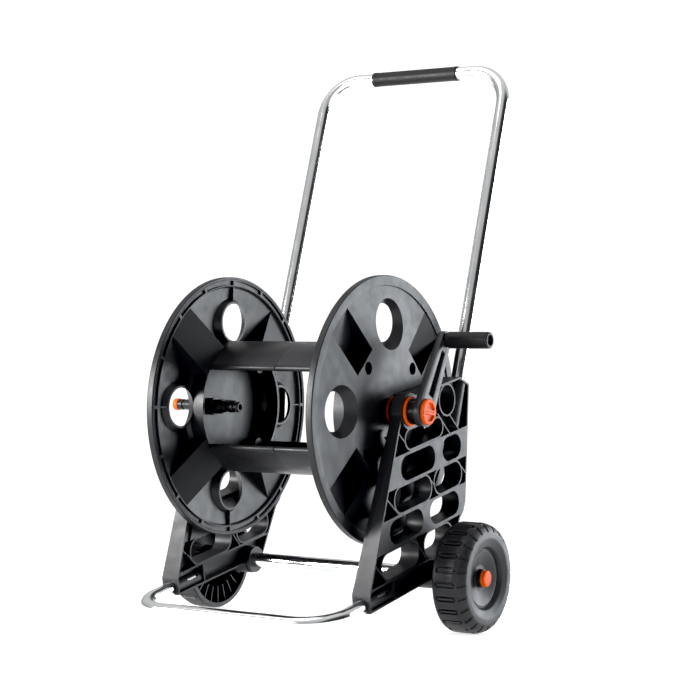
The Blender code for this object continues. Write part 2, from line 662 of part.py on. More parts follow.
def hub_bearing(side):
    place = (lambda mesh: mesh) if side > 0 else mirrored
    tag = "right" if side > 0 else "left"
    bore = JOURNAL_RADIUS + RUN
    flange_end = PANEL_OUT_X + 0.0034
    bush = [(PANEL_IN_X + 0.0010, bore), (PANEL_IN_X + 0.0010, BUSH_RADIUS),
            (PANEL_OUT_X + GAP, BUSH_RADIUS), (PANEL_OUT_X + GAP, 0.0220),
            (flange_end, 0.0220), (flange_end, bore)]
    piece("hub_bush_" + tag, place(turned(bush, 32)), "orange_plastic")
    washer = [(HUB_FACE_X + GAP, bore), (HUB_FACE_X + GAP, 0.0200),
              (PANEL_IN_X - GAP, 0.0214), (PANEL_IN_X - GAP, bore)]
    piece("hub_washer_" + tag, place(turned(washer, 32)), "black_plastic")


def crank():
    lean = CRANK_TILT
    head = (CRANK_REACH * math.sin(lean), CRANK_REACH * math.cos(lean))
    upright = math.pi / 2 - lean
    spread = math.asin((ARM_FOOT_RADIUS - ARM_HEAD_RADIUS) / CRANK_REACH)
    foot_arc = arc((0, 0), ARM_FOOT_RADIUS, upright + math.pi / 2 - spread,
                   upright + 3 * math.pi / 2 + spread, 20)
    head_arc = arc(head, ARM_HEAD_RADIUS, upright - math.pi / 2 + spread,
                   upright + math.pi / 2 - spread, 12)
    pivot = (0, 0, 0)
    arm = piece("crank_arm", slab(foot_arc + head_arc, ARM_INNER_X, ARM_OUTER_X), "black_plastic", pivot)
    bend = Vector((math.sin(lean), math.cos(lean)))
    side = Vector((bend.y, -bend.x))

    def on_arm(run, aside):
        point = bend * run + side * aside
        return (point.x, point.y)

    slot = [on_arm(0.0270, -0.0070), on_arm(0.0270, 0.0070), on_arm(0.0980, 0.0048),
            on_arm(0.0980, -0.0048)]
    boolean(arm, cutter("arm_slot", slab(slot, ARM_OUTER_X - 0.0060, ARM_OUTER_X + 0.01)), "DIFFERENCE")
    eye = rod((ARM_INNER_X - 0.01, 0, 0), (ARM_OUTER_X + 0.01, 0, 0), BORE_RADIUS, 32)
    boolean(arm, cutter("arm_eye", eye), "DIFFERENCE")
    pin_radius = 0.0055
    pin_hole = rod((ARM_INNER_X + 0.0020, *head), (ARM_OUTER_X + 0.01, *head), pin_radius + GAP, 32)
    boolean(arm, cutter("arm_pin_hole", pin_hole), "DIFFERENCE")

    sleeve_start = ARM_OUTER_X + 0.0010
    bore = pin_radius + RUN
    r = GRIP_RADIUS
    sleeve = [(sleeve_start, bore), (sleeve_start, r), (GRIP_END_X - 0.0022, r), (GRIP_END_X, r - 0.0026),
              (GRIP_END_X, 0.0078), (GRIP_END_X - 0.0090, 0.0078), (GRIP_END_X - 0.0090, bore)]
    piece("crank_grip", turned(sleeve, 32, head), "black_plastic", (0.0, *head))
    pin_end = GRIP_END_X - 0.0090 + GAP
    pin = [(ARM_INNER_X + 0.0023, 0.0), (ARM_INNER_X + 0.0023, pin_radius), (pin_end, pin_radius),
           (pin_end, 0.0072), (pin_end + 0.0030, 0.0072), (pin_end + 0.0030, 0.0)]
    piece("crank_pin", turned(pin, 32, head), "screw_steel", pivot)

    ridged = []
    for i in range(48):
        radius = KNOB_RADIUS if i % 2 == 0 else KNOB_RADIUS - 0.0007
        angle = 2 * math.pi * i / 48
        ridged.append((radius * math.cos(angle), radius * math.sin(angle)))
    knob = piece("crank_knob", slab(ridged, ARM_OUTER_X + GAP, KNOB_END_X), "orange_plastic", pivot)
    stem = rod((ARM_INNER_X - 0.0280, 0, 0), (ARM_OUTER_X + 0.0020, 0, 0), BORE_RADIUS - GAP, 32)
    boolean(knob, cutter("knob_stem", stem), "UNION")
    cups = []
    for flip in (0, math.pi):
        rim = arc((0, 0), KNOB_RADIUS - 0.0045, flip + 0.24, flip + math.pi - 0.24, 6)
        cups.append(slab(rim, KNOB_END_X - 0.0030, KNOB_END_X + 0.01))
    cup_pair = merged(cups)
    cup_pair.transform(Matrix.Rotation(math.radians(-3), 4, "X"))
    boolean(knob, cutter("knob_cups", cup_pair), "DIFFERENCE")


def water_parts():
    """Hose outlet inside the drum and the inlet swivel on the left journal."""
    end = INLET_END_X
    spigot = BORE_RADIUS - RUN
    start = PANEL_OUT_X + 0.0040
    inner = -(HUB_FACE_X + 0.0060)
    ring_start = end - 0.0085
    inlet = [(inner, 0.0), (inner, spigot), (-(start + GAP), spigot), (-(start + GAP), 0.0130),
             (-(start + 0.0120), 0.0130), (-(start + 0.0120), 0.0105), (-(end - 0.0330), 0.0105),
             (-(end - 0.0320), 0.0085), (-(end - 0.0230), 0.0085), (-(end - 0.0220), 0.0070),
             (-(end - 0.0180), 0.0070), (-(end - 0.0170), 0.0085), (-(ring_start - GAP), 0.0085),
             (-(ring_start - GAP), 0.0062), (-(end - 0.0012), 0.0062), (-(end - 0.0012), 0.0)]
    piece("inlet_connector", turned(inlet, 28), "black_plastic", (0, 0, 0))
    ring = [(-ring_start, 0.0065), (-ring_start, 0.0092), (-end, 0.0092), (-end, 0.0065)]
    piece("inlet_ring", turned(ring, 24), "orange_plastic", (0, 0, 0))
    wall = -(HUB_FACE_X - FLANGE_SKIN)
    centre = (-OUTLET_ORBIT * math.cos(DRUM_PHASE), OUTLET_ORBIT * math.sin(DRUM_PHASE))
    arm_x = wall + 0.0005 + OUTLET_ARM_RADIUS
    spigot_rod = rod((wall - 0.0100, 0, 0), (arm_x, 0, 0), BORE_RADIUS - GAP, 24)
    elbow = piece("outlet_elbow", spigot_rod, "black_plastic", (0, 0, 0))
    elbow_top = arm_x + OUTLET_ARM_RADIUS
    channel = rod((arm_x, 0.0040, 0), (arm_x, *centre), OUTLET_ARM_RADIUS, 12)
    boolean(elbow, cutter("elbow_channel", channel), "UNION")
    housing = rod((wall + 0.0008, *centre), (elbow_top, *centre), 0.0130, 20)
    boolean(elbow, cutter("elbow_housing", housing), "UNION")
    foot = elbow_top + GAP
    profile = [(0.0, 0.0), (0.0, 0.0110), (0.0120, 0.0110), (0.0128, 0.0085), (0.0200, 0.0085),
               (0.0208, 0.0068), (0.0266, 0.0068), (0.0274, 0.0085), (0.0364, 0.0085), (0.0372, 0.0062),
               (0.0414, 0.0062), (0.0422, 0.0082), (0.0466, 0.0076), (0.0466, 0.0)]
    plug = [(foot + run, radius) for run, radius in profile]
    piece("outlet_connector", turned(plug, 20, centre), "black_plastic", (0, 0, 0))


# ---------------------------------------------------------------- assembly
frame_tubes()
for side in (1, -1):
    panel_side(side)
    hub_bearing(side)
    wheel_side(side)
    drum_side(side)
axle_end = AXLE_END_X
piece("axle_rod", rod((-axle_end, WHEEL_BACK, AXLE_Z), (axle_end, WHEEL_BACK, AXLE_Z), AXLE_RADIUS, 32),
      "steel_tube")
crank()
water_parts()
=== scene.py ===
"""Looks of the garden hose reel cart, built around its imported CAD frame."""
import json
import math

import bmesh
import bpy
from mathutils import Matrix, Vector


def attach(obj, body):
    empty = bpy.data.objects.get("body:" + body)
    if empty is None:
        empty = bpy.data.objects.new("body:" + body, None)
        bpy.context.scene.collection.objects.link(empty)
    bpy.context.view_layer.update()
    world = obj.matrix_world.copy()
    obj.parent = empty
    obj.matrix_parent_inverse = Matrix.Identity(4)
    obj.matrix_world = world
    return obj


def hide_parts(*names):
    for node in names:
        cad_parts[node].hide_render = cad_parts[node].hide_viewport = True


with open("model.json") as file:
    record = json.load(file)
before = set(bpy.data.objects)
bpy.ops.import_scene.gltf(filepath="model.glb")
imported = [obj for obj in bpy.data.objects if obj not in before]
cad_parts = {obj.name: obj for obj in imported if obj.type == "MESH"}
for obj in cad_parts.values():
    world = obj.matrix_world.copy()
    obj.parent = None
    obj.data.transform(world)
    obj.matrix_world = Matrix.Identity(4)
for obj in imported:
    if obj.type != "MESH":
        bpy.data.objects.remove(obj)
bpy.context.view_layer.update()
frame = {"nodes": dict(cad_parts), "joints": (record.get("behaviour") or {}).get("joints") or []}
nodes = frame["nodes"]
joints = {joint["name"]: joint for joint in frame["joints"]}
HUB = Vector(joints["drum_spin"]["pos_m"])      # drum axis at its middle plane; all sizes start from it

# ---------------------------------------------------------------- sizes, metres from HUB
GAP = 0.0003
R_FLANGE = 0.200
X_IN = 0.1350
X_OUT = 0.1460
RIM = 0.0150
R_CORE = 0.1010
CORE_SKIN = 0.0045
PHASE = math.radians(-4.8)
HOLE_ORBIT = 0.1300
PANEL_X = 0.1713
PANEL_IN = 0.1563
PANEL_OUT = 0.1863
ROW_TILT = math.radians(16.1)
FRONT_TILT = math.radians(61.4)
FOOT = (-0.0773, -0.2939)
HUB_HEIGHT = 0.3206               # above the floor
WHEEL_R = 0.0823
ROWS = (0.0, 0.0315, 0.0755, 0.1180, 0.1600, 0.2025, 0.2815)
SLOT_R = 0.0185
RIB = 0.0025
AXLE = (0.1112, WHEEL_R - HUB_HEIGHT)
LEG_BACK = 0.1478
LEG_TILT = math.radians(12.0)
LEG_LENGTH = 0.5826
TUBE_R = 0.0100
WHEEL_IN = 0.2210
WHEEL_OUT = 0.2720
CRANK_REACH = 0.1198
CRANK_TILT = math.radians(23.4)
OUTLET_ORBIT = 0.0560


# ---------------------------------------------------------------- mesh code
def to_mesh(bm):
    bmesh.ops.remove_doubles(bm, verts=bm.verts, dist=2e-6)
    bmesh.ops.recalc_face_normals(bm, faces=bm.faces)
    mesh = bpy.data.meshes.new("shape")
    bm.to_mesh(mesh)
    bm.free()
    return mesh


def rounded(points, radius, steps=4, closed=True):
    """A polygon with its corners filleted; radius is one number or one for each corner."""
    count = len(points)
    radii = radius if hasattr(radius, "__len__") else [radius] * count
    result = []
    for i, point in enumerate(points):
        corner = Vector(point)
        ends = (i == 0 or i == count - 1) and not closed
        before = Vector(points[i - 1]) - corner
        after = Vector(points[(i + 1) % count]) - corner
        room = min(before.length, after.length) * 0.48
        angle = before.angle(after, math.pi)
        if ends or radii[i] == 0 or angle > math.radians(172):
            result.append(tuple(corner))
            continue
        reach = min(radii[i] / math.tan(angle / 2), room)
        start = corner + before.normalized() * reach
        stop = corner + after.normalized() * reach
        for k in range(steps + 1):
            t = k / steps
            blend = start.lerp(corner, t).lerp(corner.lerp(stop, t), t)
            result.append(tuple(blend))
    return result


def lathe(profile, segments=96, centre=(0.0, 0.0)):
    """A closed (x, radius) profile turned about an X axis through centre (y, z)."""
    bm = bmesh.new()
    closed = all(r > 1e-9 for x, r in profile)
    rings = []
    for x, r in profile:
        if r <= 1e-9:
            rings.append([bm.verts.new((x, centre[0], centre[1]))])
            continue
        angles = [2 * math.pi * i / segments for i in range(segments)]
        rings.append([bm.verts.new((x, centre[0] + r * math.cos(a), centre[1] + r * math.sin(a)))
                      for a in angles])
    pairs = list(zip(rings, rings[1:]))
    if closed:
        pairs.append((rings[-1], rings[0]))
    for one, two in pairs:
        for i in range(segments):
            k = (i + 1) % segments
            if len(one) == 1 and len(two) == 1:
                continue
            if len(one) == 1:
                bm.faces.new((one[0], two[i], two[k]))
            elif len(two) == 1:
                bm.faces.new((one[i], two[0], one[k]))
            else:
                bm.faces.new((one[i], two[i], two[k], one[k]))
    return to_mesh(bm)


def prism(outline, x_low, x_high):
    """A (y, z) outline extruded along X."""
    bm = bmesh.new()
    low = [bm.verts.new((x_low, y, z)) for y, z in outline]
    high = [bm.verts.new((x_high, y, z)) for y, z in outline]
    bm.faces.new(low)
    bm.faces.new(high)
    for i in range(len(outline)):
        k = (i + 1) % len(outline)
        bm.faces.new((low[i], low[k], high[k], high[i]))
    return to_mesh(bm)


def rod(start, end, radius, segments=32, end_radius=None):
    start = Vector(start)
    end = Vector(end)
    direction = end - start
    turn = direction.to_track_quat("Z", "Y").to_matrix().to_4x4()
    bm = bmesh.new()
    bmesh.ops.create_cone(bm, cap_ends=True, segments=segments, radius1=radius,
                          radius2=radius if end_radius is None else end_radius,
                          depth=direction.length, matrix=Matrix.Translation((start + end) / 2) @ turn)
    return to_mesh(bm)


def sweep(path, radius, sides=24):
    """A round bar along a polyline."""
    points = [Vector(p) for p in path]
    bm = bmesh.new()
    tangents = []
    for i in range(len(points)):
        one = points[max(i - 1, 0)]
        two = points[min(i + 1, len(points) - 1)]
        tangents.append((two - one).normalized())
    side = tangents[0].orthogonal().normalized()
    rings = []
    for i, (point, tangent) in enumerate(zip(points, tangents)):
        if i:
            side = (tangents[i - 1].rotation_difference(tangent) @ side)
            side = (side - tangent * side.dot(tangent)).normalized()
        other = tangent.cross(side)
        rings.append([bm.verts.new(point + (side * math.cos(a) + other * math.sin(a)) * radius)
                      for a in (2 * math.pi * k / sides for k in range(sides))])
    for one, two in zip(rings, rings[1:]):
        for k in range(sides):
            m = (k + 1) % sides
            bm.faces.new((one[k], one[m], two[m], two[k]))
    bm.faces.new(rings[0])
    bm.faces.new(rings[-1])
    return to_mesh(bm)


def bend_path(corners, radius, steps=14):
    """A polyline with its inner corners rounded to true arcs."""
    path = [Vector(corners[0])]
    for before, corner, after in zip(corners, corners[1:], corners[2:]):
        corner = Vector(corner)
        back = (Vector(before) - corner).normalized()
        ahead = (Vector(after) - corner).normalized()
        half = back.angle(ahead) / 2
        centre = corner + (back + ahead).normalized() * radius / math.sin(half)
        start = (corner + back * radius / math.tan(half) - centre).normalized()
        stop = (corner + ahead * radius / math.tan(half) - centre).normalized()
        path += [centre + start.slerp(stop, i / steps) * radius for i in range(steps + 1)]
    path.append(Vector(corners[-1]))
    return path


def merged(meshes):
    bm = bmesh.new()
    for mesh in meshes:
        bm.from_mesh(mesh)
    mesh = bpy.data.meshes.new("shape")
    bm.to_mesh(mesh)
    bm.free()
    return mesh


def evaluated(obj):
    bpy.context.view_layer.update()
    graph = bpy.context.evaluated_depsgraph_get()
    mesh = bpy.data.meshes.new_from_object(obj.evaluated_get(graph))
    bpy.data.objects.remove(obj, do_unlink=True)
    return mesh


def scratch(mesh):
    obj = bpy.data.objects.new("scratch", mesh)
    bpy.context.scene.collection.objects.link(obj)
    return obj


def carve(mesh, other, operation="DIFFERENCE"):
    """Cuts, joins or intersects two closed meshes."""
    body = scratch(mesh)
    tool = scratch(other)
    step = body.modifiers.new("carve", "BOOLEAN")
    step.operation = operation
    step.solver = "EXACT"
    step.object = tool
    result = evaluated(body)
    bpy.data.objects.remove(tool, do_unlink=True)
    return result


def softened(mesh, width, segments=2, angle=32.0):
    """Rounded edges on every corner sharper than angle."""
    obj = scratch(mesh)
    step = obj.modifiers.new("soften", "BEVEL")
    step.width = width
    step.segments = segments
    step.limit_method = "ANGLE"
    step.angle_limit = math.radians(angle)
    step.use_clamp_overlap = True
    step.miter_outer = "MITER_ARC"
    return evaluated(obj)


def around(mesh, angle):
    mesh.transform(Matrix.Rotation(-angle, 4, "X"))
    return mesh


def spokes(make, start=0.0, count=4):
    return merged([around(make(), PHASE + start + 2 * math.pi * i / count) for i in range(count)])


def mirrored(mesh):
    bm = bmesh.new()
    bm.from_mesh(mesh)
    for vert in bm.verts:
        vert.co.x = -vert.co.x
    bmesh.ops.recalc_face_normals(bm, faces=bm.faces)
    result = bpy.data.meshes.new("shape")
    bm.to_mesh(result)
    bm.free()
    return result


def sided(side):
    return (lambda mesh: mesh) if side > 0 else mirrored


def arc(centre, radius, start, stop, steps):
    angles = [start + (stop - start) * i / steps for i in range(steps + 1)]
    return [(centre[0] + radius * math.cos(a), centre[1] + radius * math.sin(a)) for a in angles]


def show(name, mesh, material, body, stands_for=(), crease=38.0):
    """A finished piece: shaded smooth, riding on its body, standing for the CAD nodes named."""
    mesh = mesh.copy()
    mesh.transform(Matrix.Translation(HUB))
    mesh.name = name
    mesh.materials.clear()
    mesh.materials.append(material)
    for face in mesh.polygons:
        face.use_smooth = True
        face.material_index = 0
    mesh.set_sharp_from_angle(angle=math.radians(crease))
    obj = bpy.data.objects.new(name, mesh)
    bpy.context.scene.collection.objects.link(obj)
    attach(obj, body)
    if stands_for:
        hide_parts(*stands_for)
    return obj


# ---------------------------------------------------------------- materials
class Look:
    """A node material put together step by step."""

    def __init__(self, name, colour, roughness, metallic=0.0, specular=0.5):
        self.material = bpy.data.materials.new(name)
        self.material.use_nodes = True
        self.tree = self.material.node_tree
        self.shader = self.tree.nodes["Principled BSDF"]
        self.shader.inputs["Metallic"].default_value = metallic
        self.shader.inputs["Specular IOR Level"].default_value = specular
        self.colour = colour
        self.roughness = roughness
        self.place = self.node("ShaderNodeTexCoord").outputs["Object"]
        self.height = None

    def node(self, kind):
        return self.tree.nodes.new(kind)

    def link(self, out, into):
        self.tree.links.new(out, into)

    def noise(self, scale, detail=3.0, stretch=(1.0, 1.0, 1.0)):
        mapping = self.node("ShaderNodeMapping")
        mapping.inputs["Scale"].default_value = stretch
        self.link(self.place, mapping.inputs["Vector"])
        noise = self.node("ShaderNodeTexNoise")
        noise.inputs["Scale"].default_value = scale
        noise.inputs["Detail"].default_value = detail
        self.link(mapping.outputs["Vector"], noise.inputs["Vector"])
        return noise.outputs["Fac"]

    def spread(self, value, low, high, start=0.3, stop=0.7):
        span = self.node("ShaderNodeMapRange")
        span.inputs["From Min"].default_value = start
        span.inputs["From Max"].default_value = stop
        span.inputs["To Min"].default_value = low
        span.inputs["To Max"].default_value = high
        self.link(value, span.inputs["Value"])
        return span.outputs["Result"]

    def tint(self, noise, darker, lighter, edge=0.0):
        """Colour that drifts with the noise and pales along sharp edges: rubbed plastic, and where the edge
        setting is strong a painted highlight.
        """
        ramp = self.node("ShaderNodeValToRGB")
        ramp.color_ramp.elements[0].position = 0.30
        ramp.color_ramp.elements[1].position = 0.72
        ramp.color_ramp.elements[0].color = (*[c * darker for c in self.colour], 1.0)
        ramp.color_ramp.elements[1].color = (*[c * lighter for c in self.colour], 1.0)
        self.link(noise, ramp.inputs["Fac"])
        colour = ramp.outputs["Color"]
        if edge:
            wear_and_highlight_mask = self.spread(self.node("ShaderNodeNewGeometry").outputs["Pointiness"], 0.0, edge,
                               0.52, 0.60)
            mix = self.node("ShaderNodeMix")
            mix.data_type = "RGBA"
            self.link(wear_and_highlight_mask, mix.inputs["Factor"])
            for socket in mix.inputs:
                if socket.name == "A" and socket.type == "RGBA":
                    self.link(colour, socket)
                if socket.name == "B" and socket.type == "RGBA":
                    socket.default_value = (*[min(1.0, c * 2.4 + 0.012) for c in self.colour], 1.0)
            colour = [o for o in mix.outputs if o.type == "RGBA"][0]
        self.link(colour, self.shader.inputs["Base Color"])

    def rough(self, noise, swing):
        self.link(self.spread(noise, self.roughness - swing, self.roughness + swing),
                  self.shader.inputs["Roughness"])

    def bump(self, value, strength, distance):
        bump = self.node("ShaderNodeBump")
        bump.inputs["Strength"].default_value = strength
        bump.inputs["Distance"].default_value = distance
        self.link(value, bump.inputs["Height"])
        if self.height is not None:
            self.link(self.height, bump.inputs["Normal"])
        self.height = bump.outputs["Normal"]
        self.link(self.height, self.shader.inputs["Normal"])


def plastic(name, colour, roughness, grain=1500.0, depth=0.00006, wear_and_highlight=0.35, specular=0.5):
    """Moulded plastic: spark-eroded grain, faint flow marks, edges paled where rubbed, and a painted
    highlight on the edges where that paling is set strong.
    """
    look = Look(name, colour, roughness, specular=specular)
    look.tint(look.noise(26.0, 4.0), 0.82, 1.22, wear_and_highlight)
    look.rough(look.noise(55.0, 5.0), 0.06)
    look.bump(look.noise(9.0, 2.0), 0.10, 0.0006)
    look.bump(look.noise(grain, 2.0), 0.35, depth)
    return look.material


def bright_metal(name, colour, roughness, along=(1.0, 1.0, 1.0)):
    """Zinc-bright steel: drawn lines, cloudy roughness and small marks."""
    look = Look(name, colour, roughness, metallic=1.0)
    look.tint(look.noise(34.0, 5.0), 0.88, 1.05)
    look.rough(look.noise(120.0, 6.0, along), 0.05)
    look.bump(look.noise(420.0, 3.0, along), 0.12, 0.00005)
    look.bump(look.noise(16.0, 3.0), 0.10, 0.0003)
    return look.material


LOOKS = {
    "panel": plastic("panel_plastic", (0.0075, 0.0078, 0.0090), 0.40, specular=0.26),
    "drum": plastic("drum_plastic", (0.0070, 0.0073, 0.0085), 0.36, specular=0.26),
    "trim": plastic("trim_plastic", (0.0050, 0.0050, 0.0056), 0.32, specular=0.26),
    "disc": plastic("disc_plastic", (0.0120, 0.0125, 0.0145), 0.40, specular=0.28),
    "arm": plastic("arm_plastic", (0.0120, 0.0124, 0.0140), 0.38, specular=0.34),
    "grip": plastic("grip_plastic", (0.0045, 0.0045, 0.0050), 0.46, grain=900.0, depth=0.00012,
                    specular=0.24),
    # the tyre's strong edge paling is a painted highlight along the tread bars, beyond what rubbing gives
    "tyre": plastic("tyre_plastic", (0.0100, 0.0104, 0.0120), 0.42, grain=1100.0, depth=0.0001, wear_and_highlight=0.9,
                    specular=0.34),
    "orange": plastic("orange_plastic", (0.66, 0.088, 0.005), 0.42, wear_and_highlight=0.05, specular=0.12),
    # a darker copy of the orange plastic: painted shade for the back ring, which sits in shadow inside the
    # panel
    "orange_painted_shade": plastic("orange_painted_shade_plastic", (0.16, 0.020, 0.003), 0.55, wear_and_highlight=0.05, specular=0.12),
    "tube": bright_metal("tube_steel", (0.82, 0.83, 0.84), 0.13, (1.0, 1.0, 0.04)),
    "bar": bright_metal("bar_steel", (0.82, 0.83, 0.84), 0.13, (0.04, 1.0, 1.0)),
    "pin": bright_metal("pin_steel", (0.56, 0.57, 0.58), 0.28),
}
NODE_LOOKS = {
    "side_panel": "panel", "drum_half": "drum", "handle_tube": "tube", "front_loop": "bar",
    "axle_rod": "bar", "wheel_tyre": "tyre", "wheel_cap": "orange", "hub_bush": "orange",
    "crank_knob": "orange", "inlet_ring": "orange", "crank_pin": "pin", "crank_grip": "grip",
    "handle_grip": "grip",
}
for name, node in nodes.items():
    chosen = next((look for start, look in NODE_LOOKS.items() if name.startswith(start)), "trim")
    node.data.materials.clear()
    node.data.materials.append(LOOKS[chosen])


# ---------------------------------------------------------------- frame tubes
def leg_point(run, aside=0.0):
    """A point by the handle leg, (y, z): run along it, aside towards the back."""
    sin_tilt = math.sin(LEG_TILT)
    cos_tilt = math.cos(LEG_TILT)
    return (LEG_BACK + run * sin_tilt + aside * cos_tilt, run * cos_tilt - aside * sin_tilt)


def panel_point(along, up):
    """A point of the side panel given along its rows and square to them, as (y, z)."""
    cos_tilt = math.cos(ROW_TILT)
    sin_tilt = math.sin(ROW_TILT)
    return (FOOT[0] + along * cos_tilt - up * sin_tilt, FOOT[1] + along * sin_tilt + up * cos_tilt)


def frame_tubes():
    foot = leg_point(-0.0120)
    head = leg_point(LEG_LENGTH)
    handle = [(-PANEL_X, *foot), (-PANEL_X, *head), (PANEL_X, *head), (PANEL_X, *foot)]
    bar = softened(sweep(bend_path(handle, 0.0600, 20), TUBE_R, 40), 0.0012, 3, 60)
    show("bent_handle", bar, LOOKS["tube"], "frame", ["handle_tube"])
    tail = panel_point(0.0645, LOOP_OFFSET)
    toe_z = TUBE_R - HUB.z
    toe_y = panel_point(0.0, LOOP_OFFSET)[0] - (panel_point(0.0, LOOP_OFFSET)[1] - toe_z) / math.tan(ROW_TILT)
    loop = [(-PANEL_X, *tail), (-PANEL_X, toe_y, toe_z), (PANEL_X, toe_y, toe_z), (PANEL_X, *tail)]
    bar = sweep(bend_path(loop, 0.0560, 20), TUBE_R, 40)
    show("bent_foot_loop", bar, LOOKS["bar"], "frame", ["front_loop_tube"])
    end = 0.0800
    sleeve = rounded([(-end, TUBE_R + GAP), (-end, 0.0120), (-end + 0.0055, 0.0120), (-end + 0.0055, 0.0116),
                      (end - 0.0055, 0.0116), (end - 0.0055, 0.0120), (end, 0.0120), (end, TUBE_R + GAP)],
                     [0, 0.0010, 0.0003, 0.0002, 0.0002, 0.0003, 0.0010, 0], 4)
    show("soft_grip_sleeve", lathe(sleeve, 64, head), LOOKS["grip"], "frame", ["handle_grip"])


# ---------------------------------------------------------------- side panels
LOOP_OFFSET = 0.0095
HUB_BOSS_R = 0.0270
AXLE_BOSS_R = 0.0215
AXLE_R = 0.0110
BUSH_R = 0.0195
PANEL_WEB = 0.0050
SLOTS = (                         # along, up, half length, radius
    (0.0920, 0.0535, 0.0517, SLOT_R), (0.2040, 0.0535, 0.0420, SLOT_R),
    (0.1180, 0.0968, 0.0482, SLOT_R), (0.2307, 0.0968, 0.0442, SLOT_R),
    (0.1440, 0.1390, 0.0528, SLOT_R), (0.2480, 0.1390, 0.0411, SLOT_R),
    (0.1655, 0.1813, 0.0502, SLOT_R), (0.2667, 0.1813, 0.0288, SLOT_R),
    (0.1900, 0.2205, 0.0545, 0.0140),
)
RING = (0.2649, 0.2555, 0.0225)
STRUTS = (
    ((0.0200, 0.0680), (0.0530, 0.0300)), ((0.1350, 0.0770), (0.1680, 0.0300)),
    ((0.0640, 0.1560), (0.1030, 0.1160)), ((0.1830, 0.1615), (0.2265, 0.1165)),
    ((0.2760, 0.1615), (0.3110, 0.1240)), ((0.1130, 0.2410), (0.1510, 0.2010)),
    ((0.2330, 0.2410), (0.2665, 0.2010)), ((0.2680, 0.2320), (0.2950, 0.2010)),
    ((0.0670, -0.0020), (0.0670, 0.0330)),
)
OPEN_ROWS = (0, 1, 3, 5)


def hits(point, direction, radius, centre):
    """Where a line crosses a circle, nearest end of the line first."""
    line = Vector(direction).normalized()
    offset = Vector(point) - Vector(centre)
    middle = -offset.dot(line)
    half = math.sqrt(radius ** 2 - (offset + line * middle).length_squared)
    return [Vector(point) + line * (middle - half), Vector(point) + line * (middle + half)]


def bearing(point, centre):
    return math.atan2(point[1] - centre[1], point[0] - centre[0])


def panel_outline():
    row = (math.cos(ROW_TILT), math.sin(ROW_TILT))
    edge = (math.cos(ROW_TILT + FRONT_TILT), math.sin(ROW_TILT + FRONT_TILT))
    toe = panel_point(0.0014, 0.0255)
    axle_in = hits(FOOT, row, AXLE_BOSS_R, AXLE)[0]
    start = bearing(axle_in, AXLE) % (2 * math.pi)
    boss = arc(AXLE, AXLE_BOSS_R, start, 2 * math.pi + math.radians(-14), 28)
    hub_top = hits(panel_point(0.0, ROWS[-1]), row, HUB_BOSS_R, (0, 0))[1]
    hub_low = hits(toe, edge, HUB_BOSS_R, (0, 0))[0]
    hub_arc = arc((0, 0), HUB_BOSS_R, bearing(hub_top, (0, 0)), bearing(hub_low, (0, 0)) + 2 * math.pi, 36)
    rear = [panel_point(0.2737, 0.0688), panel_point(0.2865, 0.0775), panel_point(0.2940, 0.0900),
            panel_point(0.3011, 0.1166), panel_point(0.3357, 0.2658), panel_point(0.3102, 0.2815)]
    return [FOOT] + boss + rear + hub_arc + [toe]


def inset(outline, distance):
    """The outline drawn in by a distance, edges kept parallel."""
    corners = [Vector(p) for p in outline]
    moved = []
    for i, corner in enumerate(corners):
        before = (corner - corners[i - 1]).normalized()
        after = (corners[(i + 1) % len(corners)] - corner).normalized()
        normal = (Vector((-before.y, before.x)) + Vector((-after.y, after.x))).normalized()
        scale = max(normal.dot(Vector((-before.y, before.x))), 0.5)
        moved.append(tuple(corner + normal * distance / scale))
    return moved


def oblong(along, up, half_length, radius, steps=18):
    reach = half_length - radius
    ends = arc((along + reach, up), radius, -math.pi / 2, math.pi / 2, steps)
    ends += arc((along - reach, up), radius, math.pi / 2, 3 * math.pi / 2, steps)
    return [panel_point(a, n) for a, n in ends]


def strut(start, end, width, x_low, x_high):
    run = Vector(end) - Vector(start)
    side = Vector((-run.y, run.x)).normalized() * width / 2
    corners = [Vector(start) - side, Vector(end) - side, Vector(end) + side, Vector(start) + side]
    return prism([panel_point(c.x, c.y) for c in corners], x_low, x_high)


EDGE_TAPER = 0.0130               # the panel's front edge is this much thinner at the hub than at the foot
SCREW_RUN = 0.0660                # up the leg from the height of the drum axis
SCREW_SINK = 0.0016               # how deep the screw heads sit in the panel


def front_edge_taper():
    """What the front edge loses on its inner side, growing from the foot to the hub."""
    edge = Vector((math.cos(ROW_TILT + FRONT_TILT), math.sin(ROW_TILT + FRONT_TILT)))
    inward = Vector((edge.y, -edge.x))
    toe = Vector(panel_point(0.0014, 0.0255))
    low = toe + edge * 0.0100
    top = toe + edge * 0.2750
    bm = bmesh.new()
    rings = []
    for place, cut in ((low, 0.0005), (top, EDGE_TAPER)):
        corners = [(PANEL_IN - 0.004, place - inward * 0.02), (PANEL_IN - 0.004, place + inward * 0.012),
                   (PANEL_IN + cut, place + inward * 0.012), (PANEL_IN + cut, place - inward * 0.02)]
        rings.append([bm.verts.new((x, spot.x, spot.y)) for x, spot in corners])
    bm.faces.new(rings[0])
    bm.faces.new(rings[1])
    for i in range(4):
        k = (i + 1) % 4
        bm.faces.new((rings[0][i], rings[0][k], rings[1][k], rings[1][i]))
    return to_mesh(bm)


